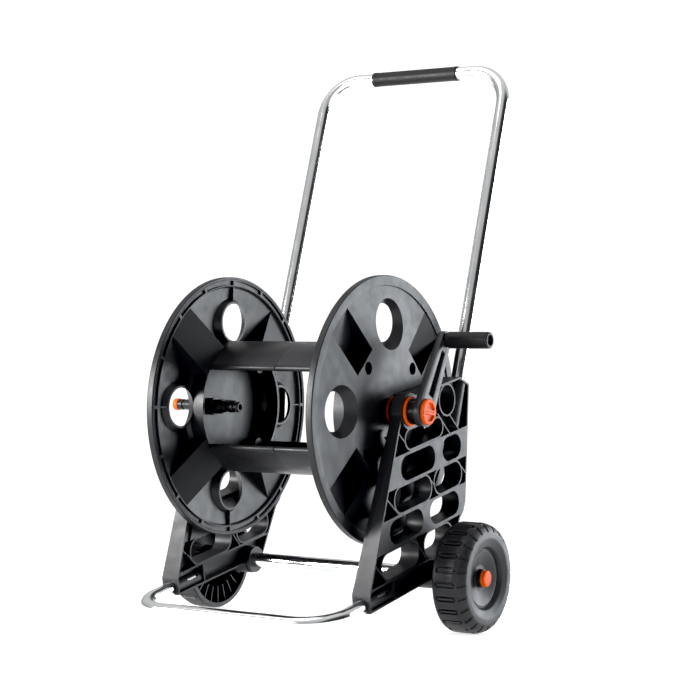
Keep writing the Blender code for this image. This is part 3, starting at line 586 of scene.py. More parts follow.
def panel_mesh():
    """The right-hand lattice panel: solid bands, open rows with thin ribs, sockets and bosses."""
    outline = panel_outline()
    wide = (PANEL_IN - 0.010, PANEL_OUT + 0.010)
    depth = (PANEL_OUT - PANEL_IN - PANEL_WEB) / 2
    layers = ((PANEL_IN - 0.004, PANEL_IN + depth), (PANEL_OUT - depth, PANEL_OUT + 0.004))
    rows = []
    for index in OPEN_ROWS:
        low = ROWS[index] + RIB / 2
        high = ROWS[index + 1] - RIB / 2
        corners = [panel_point(a, n) for a, n in ((-0.05, low), (0.40, low), (0.40, high), (-0.05, high))]
        rows += [prism(corners, *layer) for layer in layers]
    pockets = carve(merged(rows), prism(inset(outline, RIB + 0.0003), *wide), "INTERSECT")
    ring_at = panel_point(RING[0], RING[1])
    walls = [prism(oblong(a, n, half + RIB, r + RIB), *wide) for a, n, half, r in SLOTS]
    walls.append(rod((wide[0], *ring_at), (wide[1], *ring_at), RING[2] + RIB, 56))
    walls.append(rod((wide[0], 0, 0), (wide[1], 0, 0), HUB_BOSS_R, 64))
    walls.append(rod((wide[0] - 0.002, *AXLE), (wide[1] + 0.002, *AXLE), AXLE_BOSS_R, 56))
    walls += [strut(start, end, RIB * 0.8, *wide) for start, end in STRUTS]
    walls.append(rod((PANEL_X, *leg_point(-0.017)), (PANEL_X, *leg_point(0.090)), 0.0134, 40))
    walls.append(rod((PANEL_X, *panel_point(-0.020, LOOP_OFFSET)),
                     (PANEL_X, *panel_point(0.066, LOOP_OFFSET)), 0.0123, 40))
    for wall in walls:
        pockets = carve(pockets, wall)
    panel = carve(prism(outline, PANEL_IN, PANEL_OUT), pockets)
    boss = rod((PANEL_IN - 0.006, *AXLE), (PANEL_X, *AXLE), AXLE_BOSS_R - 0.0012, 56)
    panel = carve(panel, boss, "UNION")
    panel = carve(panel, front_edge_taper())
    panel = carve(panel, rod((wide[0], 0, 0), (PANEL_IN + EDGE_TAPER, 0, 0), HUB_BOSS_R + 0.0010, 64))
    slots = [prism(oblong(a, n, half, r), *wide) for a, n, half, r in SLOTS]
    slots.append(rod((wide[0], *ring_at), (wide[1], *ring_at), RING[2], 56))
    slit = [panel_point(a, n) for a, n in
            ((0.030, 0.0135), (0.056, 0.0135), (0.056, 0.0170), (0.030, 0.0170))]
    slots.append(prism(rounded(slit, 0.0008), *wide))
    panel = carve(panel, merged(slots))
    bores = [
        rod((PANEL_X, *leg_point(-0.0125)), (PANEL_X, *leg_point(0.110)), TUBE_R + GAP * 2, 40),
        rod((PANEL_X, *panel_point(-0.020, LOOP_OFFSET)), (PANEL_X, *panel_point(0.0650, LOOP_OFFSET)),
            TUBE_R + GAP * 2, 40),
        rod((wide[0] - 0.01, *AXLE), (wide[1], *AXLE), AXLE_R + GAP, 48),
        rod((wide[0], 0, 0), (wide[1], 0, 0), BUSH_R + GAP * 2, 64),
    ]
    for bore in bores:
        panel = carve(panel, bore)
    return panel


def side_panels():
    mesh = panel_mesh()
    for side, tag in ((1, "right"), (-1, "left")):
        show("lattice_panel_" + tag, sided(side)(mesh), LOOKS["panel"], "frame",
             ["side_panel_" + tag], 28.0)
        head = [(PANEL_OUT - 0.0002, 0.0), (PANEL_OUT - 0.0002, 0.0040), (PANEL_OUT + 0.0008, 0.0036),
                (PANEL_OUT + 0.0012, 0.0020), (PANEL_OUT + 0.0006, 0.0016), (PANEL_OUT + 0.0006, 0.0)]
        screw = lathe(rounded(head, 0.0004, 3, False), 24, leg_point(SCREW_RUN))
        screw.transform(Matrix.Translation((-SCREW_SINK, 0, 0)))
        show("leg_screw_%s_1" % tag, sided(side)(screw), LOOKS["pin"], "frame")


# ---------------------------------------------------------------- drum
BULGE_X = 0.1520
HUB_FACE_X = 0.1500
FLANGE_SKIN = 0.0045
JOURNAL_R = 0.0160
BORE_R = 0.0095
RECESS = 0.0020
HOLE_OUT = 0.0385
HOLE_IN = 0.0285
WEDGE_HALF = 0.0275
WEDGE_SKIN = 0.0026
WEDGE_TIP = R_FLANGE - RIM - 0.0012
WEDGE_ROOT = R_CORE - 0.0012
WEDGE_DROP = 0.0240
WELL_ORBIT = 0.0880
WELL_R = 0.0095
WINDOW_HALF = math.radians(38.0)
ARM_IN = 0.2035
ARM_OUT = 0.2135
LIP = R_FLANGE - RIM


def drum_profile(journal_end):
    """Half section of one drum moulding, its rim bead, swelling end wall and core rounded."""
    face = X_OUT - RECESS
    swell = BULGE_X - face
    points = [
        (X_OUT, R_FLANGE, 0.0016), (X_IN, R_FLANGE, 0.0016), (X_IN, R_FLANGE - 0.0034, 0.0004),
        (X_IN + 0.0012, R_FLANGE - 0.0034, 0.0002), (X_IN + 0.0012, R_FLANGE - 0.0042, 0.0002),
        (X_IN + 0.0002, R_FLANGE - 0.0042, 0.0003), (X_IN + 0.0002, LIP + 0.0010, 0.0004),
        (X_IN + 0.0016, LIP + 0.0004, 0.0003), (X_IN + 0.0016, LIP, 0.0003),
        (face - 0.0030, LIP - 0.0010, 0.0020), (BULGE_X - FLANGE_SKIN, R_CORE + 0.0060, 0.0040),
        (BULGE_X - FLANGE_SKIN - 0.0050, R_CORE, 0.0030), (GAP / 2, R_CORE, 0.0),
        (GAP / 2, R_CORE - CORE_SKIN, 0.0), (BULGE_X - FLANGE_SKIN - 0.0070, R_CORE - CORE_SKIN, 0.0030),
        (BULGE_X - FLANGE_SKIN, R_CORE - 0.0120, 0.0060), (BULGE_X - FLANGE_SKIN, 0.0620, 0.0200),
        (HUB_FACE_X - FLANGE_SKIN, 0.0300, 0.0040), (HUB_FACE_X - FLANGE_SKIN, BORE_R, 0.0),
        (journal_end, BORE_R, 0.0), (journal_end, JOURNAL_R, 0.0008), (HUB_FACE_X, JOURNAL_R, 0.0030),
        (HUB_FACE_X, 0.0300, 0.0200), (BULGE_X, 0.0620, 0.0240), (BULGE_X, R_CORE - 0.0080, 0.0240),
        (face + swell * 0.60, 0.1300, 0.0300), (face, LIP - 0.0015, 0.0060),
        (face, LIP - 0.0004, 0.0002), (X_OUT, LIP, 0.0006),
    ]
    return rounded([(x, r) for x, r, _ in points], [turn for _, _, turn in points], 6)


def hole_cone(grow, x_low, x_high):
    slope = (HOLE_OUT - HOLE_IN) / (X_OUT - X_IN + 0.0030)
    low = HOLE_IN + slope * (x_low - X_IN) + grow
    high = HOLE_IN + slope * (x_high - X_IN) + grow
    return rod((x_low, -HOLE_ORBIT, 0.0), (x_high, -HOLE_ORBIT, 0.0), low, 72, high)


def wedge(grow, drop, top, tip, root, rise=0.0):
    """A ramp on the front spoke that sinks towards the drum core; its top may rise towards the core."""
    floor = X_OUT - RECESS - 0.0003 - drop
    section = [(-tip, top), (-root, top + rise), (-root, floor - WEDGE_DROP), (-tip, floor)]
    solid = prism(section, -WEDGE_HALF - grow, WEDGE_HALF + grow)
    solid.transform(Matrix(((0, 0, 1, 0), (0, 1, 0, 0), (-1, 0, 0, 0), (0, 0, 0, 1))))
    return solid


def arc_block(inner_r, outer_r, half_angle, x_low, x_high, steps=12):
    """A block bent round the drum axis, centred on the front spoke."""
    outline = arc((0, 0), outer_r, math.pi - half_angle, math.pi + half_angle, steps)
    outline += arc((0, 0), inner_r, math.pi + half_angle, math.pi - half_angle, steps)
    return prism(outline, x_low, x_high)


def under_skin():
    """The space just beneath the end wall's outer face, which collars and ramps may not stand out of."""
    face = X_OUT - RECESS
    bend = face + (BULGE_X - face) * 0.60
    sunk = 0.0008
    return lathe([(0.1000, 0.0200), (0.1000, LIP), (face - sunk, LIP), (bend - sunk, 0.1300),
                  (BULGE_X - sunk, R_CORE - 0.0080), (BULGE_X - sunk, 0.0620),
                  (HUB_FACE_X - sunk, 0.0300), (HUB_FACE_X - sunk, 0.0200)], 88)


def drum_mesh(side):
    journal_end = ARM_IN - GAP if side > 0 else PANEL_OUT + 0.0040
    body = lathe(drum_profile(journal_end), 176)
    collars = spokes(lambda: hole_cone(0.0030, X_IN + 0.0004, BULGE_X))
    collars = carve(collars, under_skin(), "INTERSECT")
    ramps = spokes(lambda: wedge(WEDGE_SKIN, WEDGE_SKIN, X_OUT - 0.0036, WEDGE_TIP + 0.0004,
                                 WEDGE_ROOT - 0.0012, BULGE_X - X_OUT + 0.0013), math.pi / 4)
    gussets = spokes(lambda: prism([(-LIP - 0.0010, -0.0009), (-HOLE_ORBIT - HOLE_IN, -0.0009),
                                    (-HOLE_ORBIT - HOLE_IN, 0.0009), (-LIP - 0.0010, 0.0009)],
                                   X_IN + 0.0016, X_OUT - 0.0030))
    body = carve(body, collars, "UNION")
    body = carve(body, ramps, "UNION")
    body = carve(body, gussets, "UNION")
    cups = spokes(lambda: rod((BULGE_X - 0.0240, -WELL_ORBIT, 0), (BULGE_X - 0.0020, -WELL_ORBIT, 0),
                              WELL_R + 0.0016, 40), math.pi / 4)
    body = carve(body, cups, "UNION")
    cuts = [
        spokes(lambda: wedge(0.0, 0.0, BULGE_X + 0.006, WEDGE_TIP, WEDGE_ROOT), math.pi / 4),
        spokes(lambda: hole_cone(0.0, X_IN - 0.006, BULGE_X + 0.004)),
        spokes(lambda: rod((BULGE_X - 0.0220, -WELL_ORBIT, 0), (BULGE_X + 0.01, -WELL_ORBIT, 0), WELL_R, 40),
               math.pi / 4),
        spokes(lambda: arc_block(LIP + 0.0024, R_FLANGE - 0.0055, math.pi / 16 - 0.012,
                                 X_IN - 0.004, X_IN + 0.0036), math.pi / 16, 16),
    ]
    reach = R_CORE + 0.02
    inside = R_CORE * math.cos(WINDOW_HALF) - 0.012
    half = R_CORE * math.sin(WINDOW_HALF)
    windows = merged([prism([(y * inside, -half), (y * reach, -half), (y * reach, half), (y * inside, half)],
                            -0.01, X_IN - 0.0180) for y in (-1, 1)])
    cuts.append(around(windows, PHASE))
    for cut in cuts:
        body = carve(body, cut)
    return body


def core_bead():
    """The rounded beads along the long edges of the core windows on one half."""
    beads = []
    low = GAP / 2
    high = X_IN - 0.0185
    for flip in (0.0, math.pi):
        for edge in (-1, 1):
            angle = flip + edge * WINDOW_HALF
            r = R_CORE - 0.0032
            centre = (-r * math.cos(angle), r * math.sin(angle))
            beads.append(rod((low, *centre), (high, *centre), 0.0046, 28))
    return around(merged(beads), PHASE)


def drum():
    for side, tag in ((1, "right"), (-1, "left")):
        mesh = sided(side)(drum_mesh(side))
        show("drum_shell_" + tag, mesh, LOOKS["drum"], "drum", ["drum_half_" + tag], 30.0)
        bead = sided(side)(softened(core_bead(), 0.0012, 3, 60))
        show("core_edge_beads_" + tag, bead, LOOKS["drum"], "drum")


# ---------------------------------------------------------------- wheels
TREAD_SLOTS = 24
DISC_R = 0.0445
AXLE_END = 0.2625
BAR_START = 0.0055                # where each tread bar starts and stops across the tyre
BAR_STOP = 0.0380


def smooth_step(value, low, high):
    t = min(max((value - low) / (high - low), 0.0), 1.0)
    return t * t * (3 - 2 * t)


def tread_cut(run, aside):
    """Depth of the tread at a place on the tyre: run across it, aside from the nearest bar."""
    middle = (BAR_START + BAR_STOP) / 2
    reach = (BAR_STOP - BAR_START) / 2 - 0.0046
    end = max(abs(run - middle) - reach, 0.0)
    from_edge = math.hypot(end, aside)
    groove = 1.0 - smooth_step(from_edge, 0.0040, 0.0050)
    bar = 1.0 - smooth_step(from_edge, 0.0013, 0.0020)
    pit_wide = 0.0034 - 0.0012 * smooth_step(run, 0.0420, 0.0550)
    pit = smooth_step(run, 0.0404, 0.0420) * (1.0 - smooth_step(run, 0.0520, 0.0570))
    pit *= 1.0 - smooth_step(abs(aside), pit_wide - 0.0006, pit_wide + 0.0004)
    return 0.0030 * groove * (1.0 - bar * 0.95) + 0.0024 * pit


def resampled(points, step):
    """Points at most a step apart along a polyline, each with its distance from the start."""
    result = []
    run = 0.0
    for one, two in zip(points, points[1:]):
        one = Vector(one)
        two = Vector(two)
        length = (two - one).length
        count = max(1, math.ceil(length / step))
        for k in range(count):
            result.append((one.lerp(two, k / count), run + length * k / count))
        run += length
    result.append((Vector(points[-1]), run))
    return result


def tyre_mesh():
    near, far, r = WHEEL_IN, WHEEL_OUT, WHEEL_R
    crown = rounded([(near, r - 0.0016), (near + 0.0030, r), (far - 0.0170, r), (far - 0.0060, r - 0.0040),
                     (far - 0.0008, r - 0.0130), (far - 0.0004, r - 0.0230), (far - 0.0048, DISC_R + 0.0024),
                     (far - 0.0090, DISC_R)],
                    [0, 0.003, 0.012, 0.012, 0.012, 0.014, 0.005, 0], 8, False)
    outside = resampled(crown, 0.0011)
    inside = [(far - 0.0120, DISC_R), (far - 0.0080, r - 0.0260), (far - 0.0110, r - 0.0120),
              (far - 0.0170, r - 0.0078), (near, r - 0.0078)]
    pitch = 2 * math.pi / TREAD_SLOTS
    marks = (0.0, 0.0012, 0.0016, 0.0020, 0.0028, 0.0033, 0.0038, 0.0042, 0.0046, 0.0050, 0.0075)
    offsets = sorted(set([-m / r for m in marks] + [m / r for m in marks] + [pitch / 2]))
    angles = [pitch * (i + 0.5) + offset for i in range(TREAD_SLOTS) for offset in offsets]
    bm = bmesh.new()
    rings = []
    for i, angle in enumerate(angles):
        aside = offsets[i % len(offsets)] * r
        ring = []
        for k, (point, run) in enumerate(outside):
            ahead = outside[min(k + 1, len(outside) - 1)][0] - outside[max(k - 1, 0)][0]
            normal = Vector((-ahead.y, ahead.x)).normalized()
            place = point - normal * tread_cut(run, aside)
            ring.append((place.x, place.y))
        ring += inside
        rings.append([bm.verts.new((x, AXLE[0] - q * math.cos(angle), AXLE[1] + q * math.sin(angle)))
                      for x, q in ring])
    for one, two in zip(rings, rings[1:] + rings[:1]):
        for k in range(len(one)):
            m = (k + 1) % len(one)
            bm.faces.new((one[k], one[m], two[m], two[k]))
    return to_mesh(bm)


def inner_ribs():
    """Thin radial ribs inside the tyre."""
    ribs = []
    for i in range(TREAD_SLOTS):
        rib = prism([(-0.0007, DISC_R + 0.0040), (0.0007, DISC_R + 0.0040), (0.0010, WHEEL_R - 0.0074),
                     (-0.0010, WHEEL_R - 0.0074)], WHEEL_IN + 0.0060, WHEEL_OUT - 0.0105)
        rib.transform(Matrix.Rotation(2 * math.pi * (i + 0.5) / TREAD_SLOTS, 4, "X"))
        ribs.append(rib)
    mesh = merged(ribs)
    mesh.transform(Matrix.Translation((0.0, *AXLE)))
    return mesh


def wheels():
    tyre = tyre_mesh()
    ribs = inner_ribs()
    far = WHEEL_OUT
    rim = DISC_R - GAP
    bore = AXLE_R + 0.0001
    start = WHEEL_IN - 0.0020
    disc = [(start, bore, 0), (start, 0.0165, 0.0010), (far - 0.0220, 0.0165, 0.003),
            (far - 0.0150, 0.0360, 0.003), (far - 0.0118, rim, 0.0005), (far - 0.0092, rim, 0.0006),
            (far - 0.0092, rim - 0.0012, 0.0002), (far - 0.0108, rim - 0.0014, 0.0002),
            (far - 0.0108, rim - 0.0026, 0.0002), (far - 0.0096, rim - 0.0030, 0.0006),
            (far - 0.0110, rim - 0.0090, 0.006), (far - 0.0165, 0.0200, 0.004),
            (far - 0.0165, 0.0135, 0.0012),
            (AXLE_END + 0.0005, 0.0135, 0.0004), (AXLE_END + 0.0005, bore, 0)]
    cap_start = AXLE_END + 0.0005 + GAP
    cap = [(cap_start, 0.0, 0), (cap_start, 0.0129, 0.0004), (cap_start + 0.0014, 0.0129, 0.0002),
           (cap_start + 0.0014, 0.0122, 0.0002), (far - 0.0030, 0.0122, 0.0012),
           (far - 0.0020, 0.0100, 0.0012),
           (far - 0.0018, 0.0, 0)]
    spacer = [(PANEL_OUT + GAP, AXLE_R + GAP, 0), (PANEL_OUT + GAP, 0.0165, 0.0010),
              (start - GAP, 0.0165, 0.0010), (start - GAP, AXLE_R + GAP, 0)]

    def turned(points, segments, closed=True):
        return lathe(rounded([p[:2] for p in points], [p[2] for p in points], 4, closed), segments, AXLE)

    for side, tag in ((1, "right"), (-1, "left")):
        place = sided(side)
        body = "wheel_" + tag
        show("treaded_tyre_" + tag, place(tyre), LOOKS["tyre"], body,
             ["wheel_tyre_" + tag], 50.0)
        show("tyre_ribs_" + tag, place(ribs), LOOKS["tyre"], body)
        show("hub_disc_" + tag, place(turned(disc, 120)), LOOKS["disc"], body,
             ["wheel_hub_" + tag])
        show("axle_cap_" + tag, place(turned(cap, 64, False)), LOOKS["orange"], body,
             ["wheel_cap_" + tag])
        show("axle_sleeve_" + tag, place(turned(spacer, 64)), LOOKS["trim"], "frame",
             ["axle_spacer_" + tag])


# ---------------------------------------------------------------- hub, crank and water parts
KNOB_END = 0.2195
GRIP_END = 0.2865
PIN_R = 0.0055
INLET_END = 0.2465


def turned_piece(points, segments=72, centre=(0.0, 0.0), closed=True):
    return lathe(rounded([p[:2] for p in points], [p[2] for p in points], 4, closed), segments, centre)


def hub_parts():
    bore = JOURNAL_R + 0.0001
    lip = PANEL_OUT + 0.0034
    bush = [(PANEL_OUT - 0.0040, bore, 0), (PANEL_OUT - 0.0040, BUSH_R, 0), (PANEL_OUT + GAP, BUSH_R, 0),
            (PANEL_OUT + GAP, 0.0220, 0.0006), (lip, 0.0220, 0.0012), (lip - 0.0006, 0.0200, 0.0006),
            (lip, 0.0184, 0.0004), (lip, bore, 0)]
    sleeve = [(PANEL_IN + 0.0040, bore, 0), (PANEL_IN + 0.0040, BUSH_R, 0.0004),
              (PANEL_OUT - 0.0042, BUSH_R, 0), (PANEL_OUT - 0.0042, bore, 0)]
    back_ring = [(PANEL_IN + 0.0010, bore, 0), (PANEL_IN + 0.0010, 0.0212, 0.0005),
                 (PANEL_IN + 0.0036, 0.0212, 0.0005), (PANEL_IN + 0.0036, bore, 0)]
    washer = [(HUB_FACE_X + GAP, bore, 0), (HUB_FACE_X + GAP, 0.0200, 0.0005),
              (PANEL_IN - GAP, 0.0214, 0.0005), (PANEL_IN - GAP, bore, 0)]
    for side, tag in ((1, "right"), (-1, "left")):
        place = sided(side)
        show("bearing_ring_" + tag, place(turned_piece(bush, 112)), LOOKS["orange"], "frame",
             ["hub_bush_" + tag])
        show("bearing_sleeve_" + tag, place(turned_piece(sleeve, 112)), LOOKS["trim"], "frame")
        # the back ring takes the darker orange copy: painted shade, not a different plastic
        show("bearing_back_ring_" + tag, place(turned_piece(back_ring, 112)), LOOKS["orange_painted_shade"], "frame")
        show("thrust_ring_" + tag, place(turned_piece(washer, 112)), LOOKS["trim"], "frame",
             ["hub_washer_" + tag])
    collar = [(lip + GAP, JOURNAL_R - 0.0004, 0), (lip + GAP, 0.0192, 0.0006),
              (ARM_IN - 0.0010, 0.0192, 0.0006),
              (ARM_IN - 0.0010, JOURNAL_R - 0.0004, 0)]
    show("journal_collar", turned_piece(collar, 96), LOOKS["trim"], "drum")


def crank():
    lean = CRANK_TILT
    head = (CRANK_REACH * math.sin(lean), CRANK_REACH * math.cos(lean))
    upright = math.pi / 2 - lean
    foot_r, head_r = 0.0225, 0.0132
    spread = math.asin((foot_r - head_r) / CRANK_REACH)
    outline = arc((0, 0), foot_r, upright + math.pi / 2 - spread, upright + 3 * math.pi / 2 + spread, 40)
    outline += arc(head, head_r, upright - math.pi / 2 + spread, upright + math.pi / 2 - spread, 28)
    along = Vector((math.sin(lean), math.cos(lean)))
    across = Vector((along.y, -along.x))
    slot = [tuple(along * run + across * aside) for run, aside in
            ((0.0250, -0.0072), (0.0250, 0.0072), (0.1000, 0.0052), (0.1000, -0.0052))]
    arm = prism(outline, ARM_IN, ARM_OUT)
    arm = carve(arm, prism(rounded(slot, 0.0008, 3), ARM_OUT - 0.0062, ARM_OUT + 0.01))
    arm = carve(arm, rod((ARM_IN - 0.01, 0, 0), (ARM_OUT + 0.01, 0, 0), BORE_R, 48))
    arm = carve(arm, rod((ARM_IN + 0.0020, *head), (ARM_OUT + 0.01, *head), PIN_R + GAP, 48))
    arm = softened(arm, 0.0007, 2, 50)
    show("slotted_crank_arm", arm, LOOKS["arm"], "drum", ["crank_arm"], 40.0)
    start = ARM_OUT + 0.0010
    bore = PIN_R + 0.0001
    sleeve = [(start, bore, 0), (start, 0.0108, 0.0006), (start + 0.0030, 0.0108, 0.0004),
              (start + 0.0040, 0.0125, 0.0008), (GRIP_END - 0.0050, 0.0125, 0.0004),
              (GRIP_END - 0.0046, 0.0122, 0.0002), (GRIP_END - 0.0012, 0.0122, 0.0010),
              (GRIP_END, 0.0108, 0.0008), (GRIP_END, 0.0080, 0.0006), (GRIP_END - 0.0090, 0.0076, 0.0004),
              (GRIP_END - 0.0090, bore, 0)]
    show("winding_grip", turned_piece(sleeve, 88, head), LOOKS["grip"], "crank_handle",
         ["crank_grip"])
    ridged = []
    for i in range(34):
        for part, radius in ((-0.30, 0.01820), (-0.16, 0.01910), (0.16, 0.01910), (0.30, 0.01820)):
            angle = 2 * math.pi * (i + part) / 34
            ridged.append((radius * math.cos(angle), radius * math.sin(angle)))
    knob = prism(ridged, ARM_OUT + GAP, KNOB_END - 0.0006)
    rim = [(KNOB_END - 0.0010, 0.0), (KNOB_END - 0.0010, 0.0180), (KNOB_END, 0.0174), (KNOB_END, 0.0)]
    knob = carve(knob, lathe(rim, 80), "UNION")
    cups = []
    for flip in (0, math.pi):
        moon = arc((0, 0), 0.0142, flip + 0.24, flip + math.pi - 0.24, 18)
        cups.append(prism(rounded(moon, 0.0006, 2), KNOB_END - 0.0032, KNOB_END + 0.01))
    cups.append(prism([(-0.0122, -0.0006), (0.0122, -0.0006), (0.0122, 0.0006), (-0.0122, 0.0006)],
                      KNOB_END - 0.0012, KNOB_END + 0.01))
    cup_pair = merged(cups)
    cup_pair.transform(Matrix.Rotation(math.radians(-3), 4, "X"))
    knob = carve(knob, cup_pair)
    knob = carve(knob, rod((ARM_IN - 0.0280, 0, 0), (ARM_OUT + 0.0020, 0, 0), BORE_R - GAP, 48), "UNION")
    show("fluted_knob", knob, LOOKS["orange"], "drum", ["crank_knob"], 30.0)


def connector(profile, centre, segments=64):
    return turned_piece(profile, segments, centre, False)


def water_parts():
    end = INLET_END
    start = PANEL_OUT + 0.0040
    inner = HUB_FACE_X + 0.0060
    ring_start = end - 0.0085
    inlet = [(inner, 0.0, 0), (inner, 0.0094, 0), (start + GAP, 0.0094, 0), (start + GAP, 0.0130, 0.0006),
             (start + 0.0120, 0.0130, 0.0008), (start + 0.0120, 0.0105, 0.0006),
             (end - 0.0330, 0.0105, 0.0010),
             (end - 0.0320, 0.0085, 0.0006), (end - 0.0230, 0.0085, 0.0008), (end - 0.0220, 0.0070, 0.0006),
             (end - 0.0180, 0.0070, 0.0006), (end - 0.0170, 0.0085, 0.0008),
             (ring_start - GAP, 0.0085, 0.0006), (ring_start - GAP, 0.0062, 0),
             (end - 0.0012, 0.0062, 0.0006),
             (end - 0.0012, 0.0042, 0.0004), (end - 0.0120, 0.0038, 0), (end - 0.0120, 0.0, 0)]
    show("inlet_tail", mirrored(connector(inlet, (0.0, 0.0))), LOOKS["trim"], "inlet",
         ["inlet_connector"])
    ring = [(ring_start, 0.0065, 0), (ring_start, 0.0092, 0.0012), (end, 0.0092, 0.0012),
            (end, 0.0065, 0.0003)]
    show("inlet_collar", mirrored(turned_piece(ring, 64)), LOOKS["orange"], "inlet",
         ["inlet_ring"])
    wall = -(HUB_FACE_X - FLANGE_SKIN)
    arm_r = 0.0090
    centre = (-OUTLET_ORBIT * math.cos(PHASE), OUTLET_ORBIT * math.sin(PHASE))
    arm_x = wall + 0.0005 + arm_r
    top = arm_x + arm_r
    elbow = rod((wall - 0.0100, 0, 0), (arm_x, 0, 0), BORE_R - GAP, 40)
    elbow = carve(elbow, rod((arm_x, 0.0040, 0), (arm_x, *centre), arm_r, 40), "UNION")
    elbow = carve(elbow, rod((wall + 0.0008, *centre), (top, *centre), 0.0130, 56), "UNION")
    show("water_elbow", softened(elbow, 0.0006, 2, 40), LOOKS["trim"], "drum",
         ["outlet_elbow"])
    foot = top + GAP
    plug = [(0.0, 0.0, 0), (0.0, 0.0110, 0.0006), (0.0120, 0.0110, 0.0010), (0.0128, 0.0085, 0.0005),
            (0.0200, 0.0085, 0.0006), (0.0208, 0.0068, 0.0005), (0.0266, 0.0068, 0.0005),
            (0.0274, 0.0085, 0.0008), (0.0364, 0.0085, 0.0008), (0.0372, 0.0062, 0.0005),
            (0.0414, 0.0062, 0.0005), (0.0422, 0.0082, 0.0008), (0.0466, 0.0076, 0.0010),
            (0.0466, 0.0046, 0.0006), (0.0340, 0.0040, 0), (0.0340, 0.0, 0)]
    plug = [(foot + run, radius, turn) for run, radius, turn in plug]
    show("outlet_tail", connector(plug, centre), LOOKS["trim"], "drum", ["outlet_connector"])


frame_tubes()
side_panels()
drum()
wheels()
hub_parts()
crank()
water_parts()

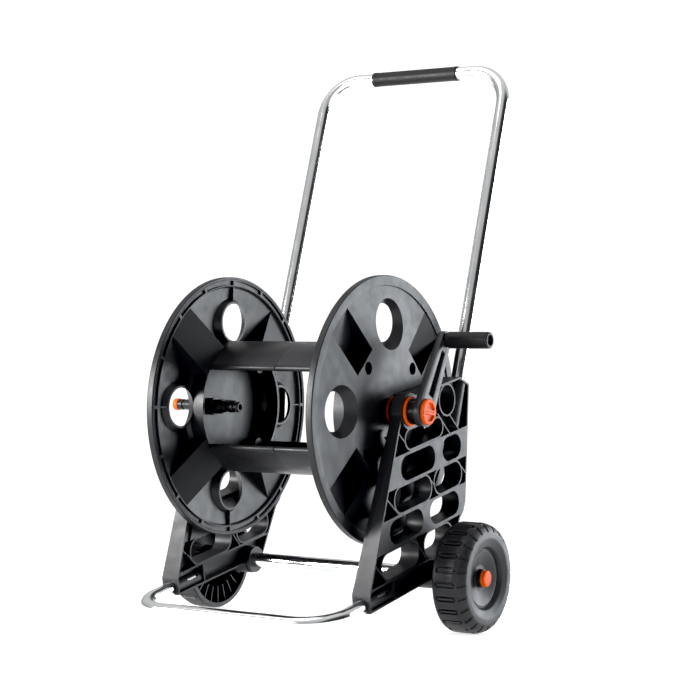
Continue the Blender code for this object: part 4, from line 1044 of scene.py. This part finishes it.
# ---------------------------------------------------------------- studio
def studio():
    floor = bpy.data.meshes.new("floor")
    bm = bmesh.new()
    bmesh.ops.create_grid(bm, x_segments=2, y_segments=2, size=30.0)
    bm.to_mesh(floor)
    bm.free()
    look = Look("floor_paper", (0.88, 0.88, 0.88), 0.9, specular=0.1)
    look.tint(look.noise(3.0, 2.0), 0.995, 1.005)
    look.shader.inputs["Emission Color"].default_value = (1.0, 1.0, 1.0, 1.0)
    look.shader.inputs["Emission Strength"].default_value = 0.62
    floor.materials.append(look.material)
    ground = bpy.data.objects.new("floor", floor)
    ground.location = (0.0, 0.0, -0.0006)
    bpy.context.scene.collection.objects.link(ground)

    world = bpy.data.worlds.new("studio")
    bpy.context.scene.world = world
    world.use_nodes = True
    tree = world.node_tree
    backdrop = tree.nodes["Background"]
    backdrop.inputs["Color"].default_value = (1.0, 1.0, 1.0, 1.0)
    backdrop.inputs["Strength"].default_value = 1.15
    room = tree.nodes.new("ShaderNodeBackground")
    place = tree.nodes.new("ShaderNodeTexCoord")
    parts = tree.nodes.new("ShaderNodeSeparateXYZ")
    tree.links.new(place.outputs["Generated"], parts.inputs["Vector"])
    height = tree.nodes.new("ShaderNodeValToRGB")
    stops = height.color_ramp.elements
    stops[0].position = 0.30
    stops[0].color = (0.55, 0.55, 0.55, 1)
    stops[1].position = 1.0
    stops[1].color = (1.0, 1.0, 1.0, 1)
    for position, value in ((0.50, 0.45), (0.60, 0.58), (0.78, 0.85)):
        stop = stops.new(position)
        stop.color = (value, value, value, 1)
    shift = tree.nodes.new("ShaderNodeMapRange")
    shift.inputs["From Min"].default_value = -1.0
    shift.inputs["From Max"].default_value = 1.0
    tree.links.new(parts.outputs["Z"], shift.inputs["Value"])
    tree.links.new(shift.outputs["Result"], height.inputs["Fac"])
    shade = tree.nodes.new("ShaderNodeMapRange")
    shade.interpolation_type = "SMOOTHSTEP"
    shade.inputs["From Min"].default_value = 0.50
    shade.inputs["From Max"].default_value = 0.86
    shade.inputs["To Min"].default_value = 1.0
    shade.inputs["To Max"].default_value = 0.06
    tree.links.new(parts.outputs["X"], shade.inputs["Value"])
    shaded = tree.nodes.new("ShaderNodeVectorMath")
    shaded.operation = "SCALE"
    tree.links.new(height.outputs["Color"], shaded.inputs[0])
    tree.links.new(shade.outputs["Result"], shaded.inputs["Scale"])
    tree.links.new(shaded.outputs["Vector"], room.inputs["Color"])
    room.inputs["Strength"].default_value = 0.75
    rays = tree.nodes.new("ShaderNodeLightPath")
    mix = tree.nodes.new("ShaderNodeMixShader")
    tree.links.new(rays.outputs["Is Camera Ray"], mix.inputs["Fac"])
    tree.links.new(room.outputs["Background"], mix.inputs[1])
    tree.links.new(backdrop.outputs["Background"], mix.inputs[2])
    tree.links.new(mix.outputs["Shader"], tree.nodes["World Output"].inputs["Surface"])

    def softbox(name, place, target, width, height, power, colour=(1.0, 1.0, 1.0)):
        light = bpy.data.lights.new(name, "AREA")
        light.color = colour
        light.shape = "RECTANGLE"
        light.size = width
        light.size_y = height
        light.energy = power
        lamp = bpy.data.objects.new(name, light)
        lamp.location = place
        aim = (Vector(target) - Vector(place)).to_track_quat("-Z", "Y")
        lamp.rotation_euler = aim.to_euler()
        bpy.context.scene.collection.objects.link(lamp)

    softbox("key_top", (-0.8, -1.2, 3.2), (0, 0, 0.35), 2.4, 2.4, 34)
    softbox("back_right", (2.05, 3.15, 0.98), (0, 0, 0.40), 2.6, 1.9, 118, (0.90, 0.95, 1.0))
    softbox("front_left", (-1.75, -2.35, 0.70), (0, 0, 0.25), 1.2, 1.1, 150)


def camera():
    """Seen from the front right and a little below the drum, with the small roll of the picture."""
    azimuth = math.radians(32.70)
    rise = math.radians(-4.41)
    roll = math.radians(3.45)
    back = Vector((math.sin(azimuth) * math.cos(rise), -math.cos(azimuth) * math.cos(rise),
                   math.sin(rise)))
    right = Vector((math.cos(azimuth), math.sin(azimuth), 0.0))
    up = back.cross(right)
    across = right * math.cos(roll) + up * math.sin(roll)
    upward = up * math.cos(roll) - right * math.sin(roll)
    place = HUB + back * 2.8812 + across * 0.0685 + upward * 0.0881
    data = bpy.data.cameras.new("camera")
    data.lens = 36.0 * 1900.0 / 700.0
    data.sensor_width = 36.0
    eye = bpy.data.objects.new("camera", data)
    eye.matrix_world = Matrix((
        (across.x, upward.x, back.x, place.x), (across.y, upward.y, back.y, place.y),
        (across.z, upward.z, back.z, place.z), (0, 0, 0, 1)))
    bpy.context.scene.collection.objects.link(eye)
    bpy.context.scene.camera = eye


studio()
camera()
view = bpy.context.scene.view_settings
view.view_transform = "Standard"
view.use_curve_mapping = True
view.curve_mapping.black_level = (0.0045, 0.0045, 0.0040)
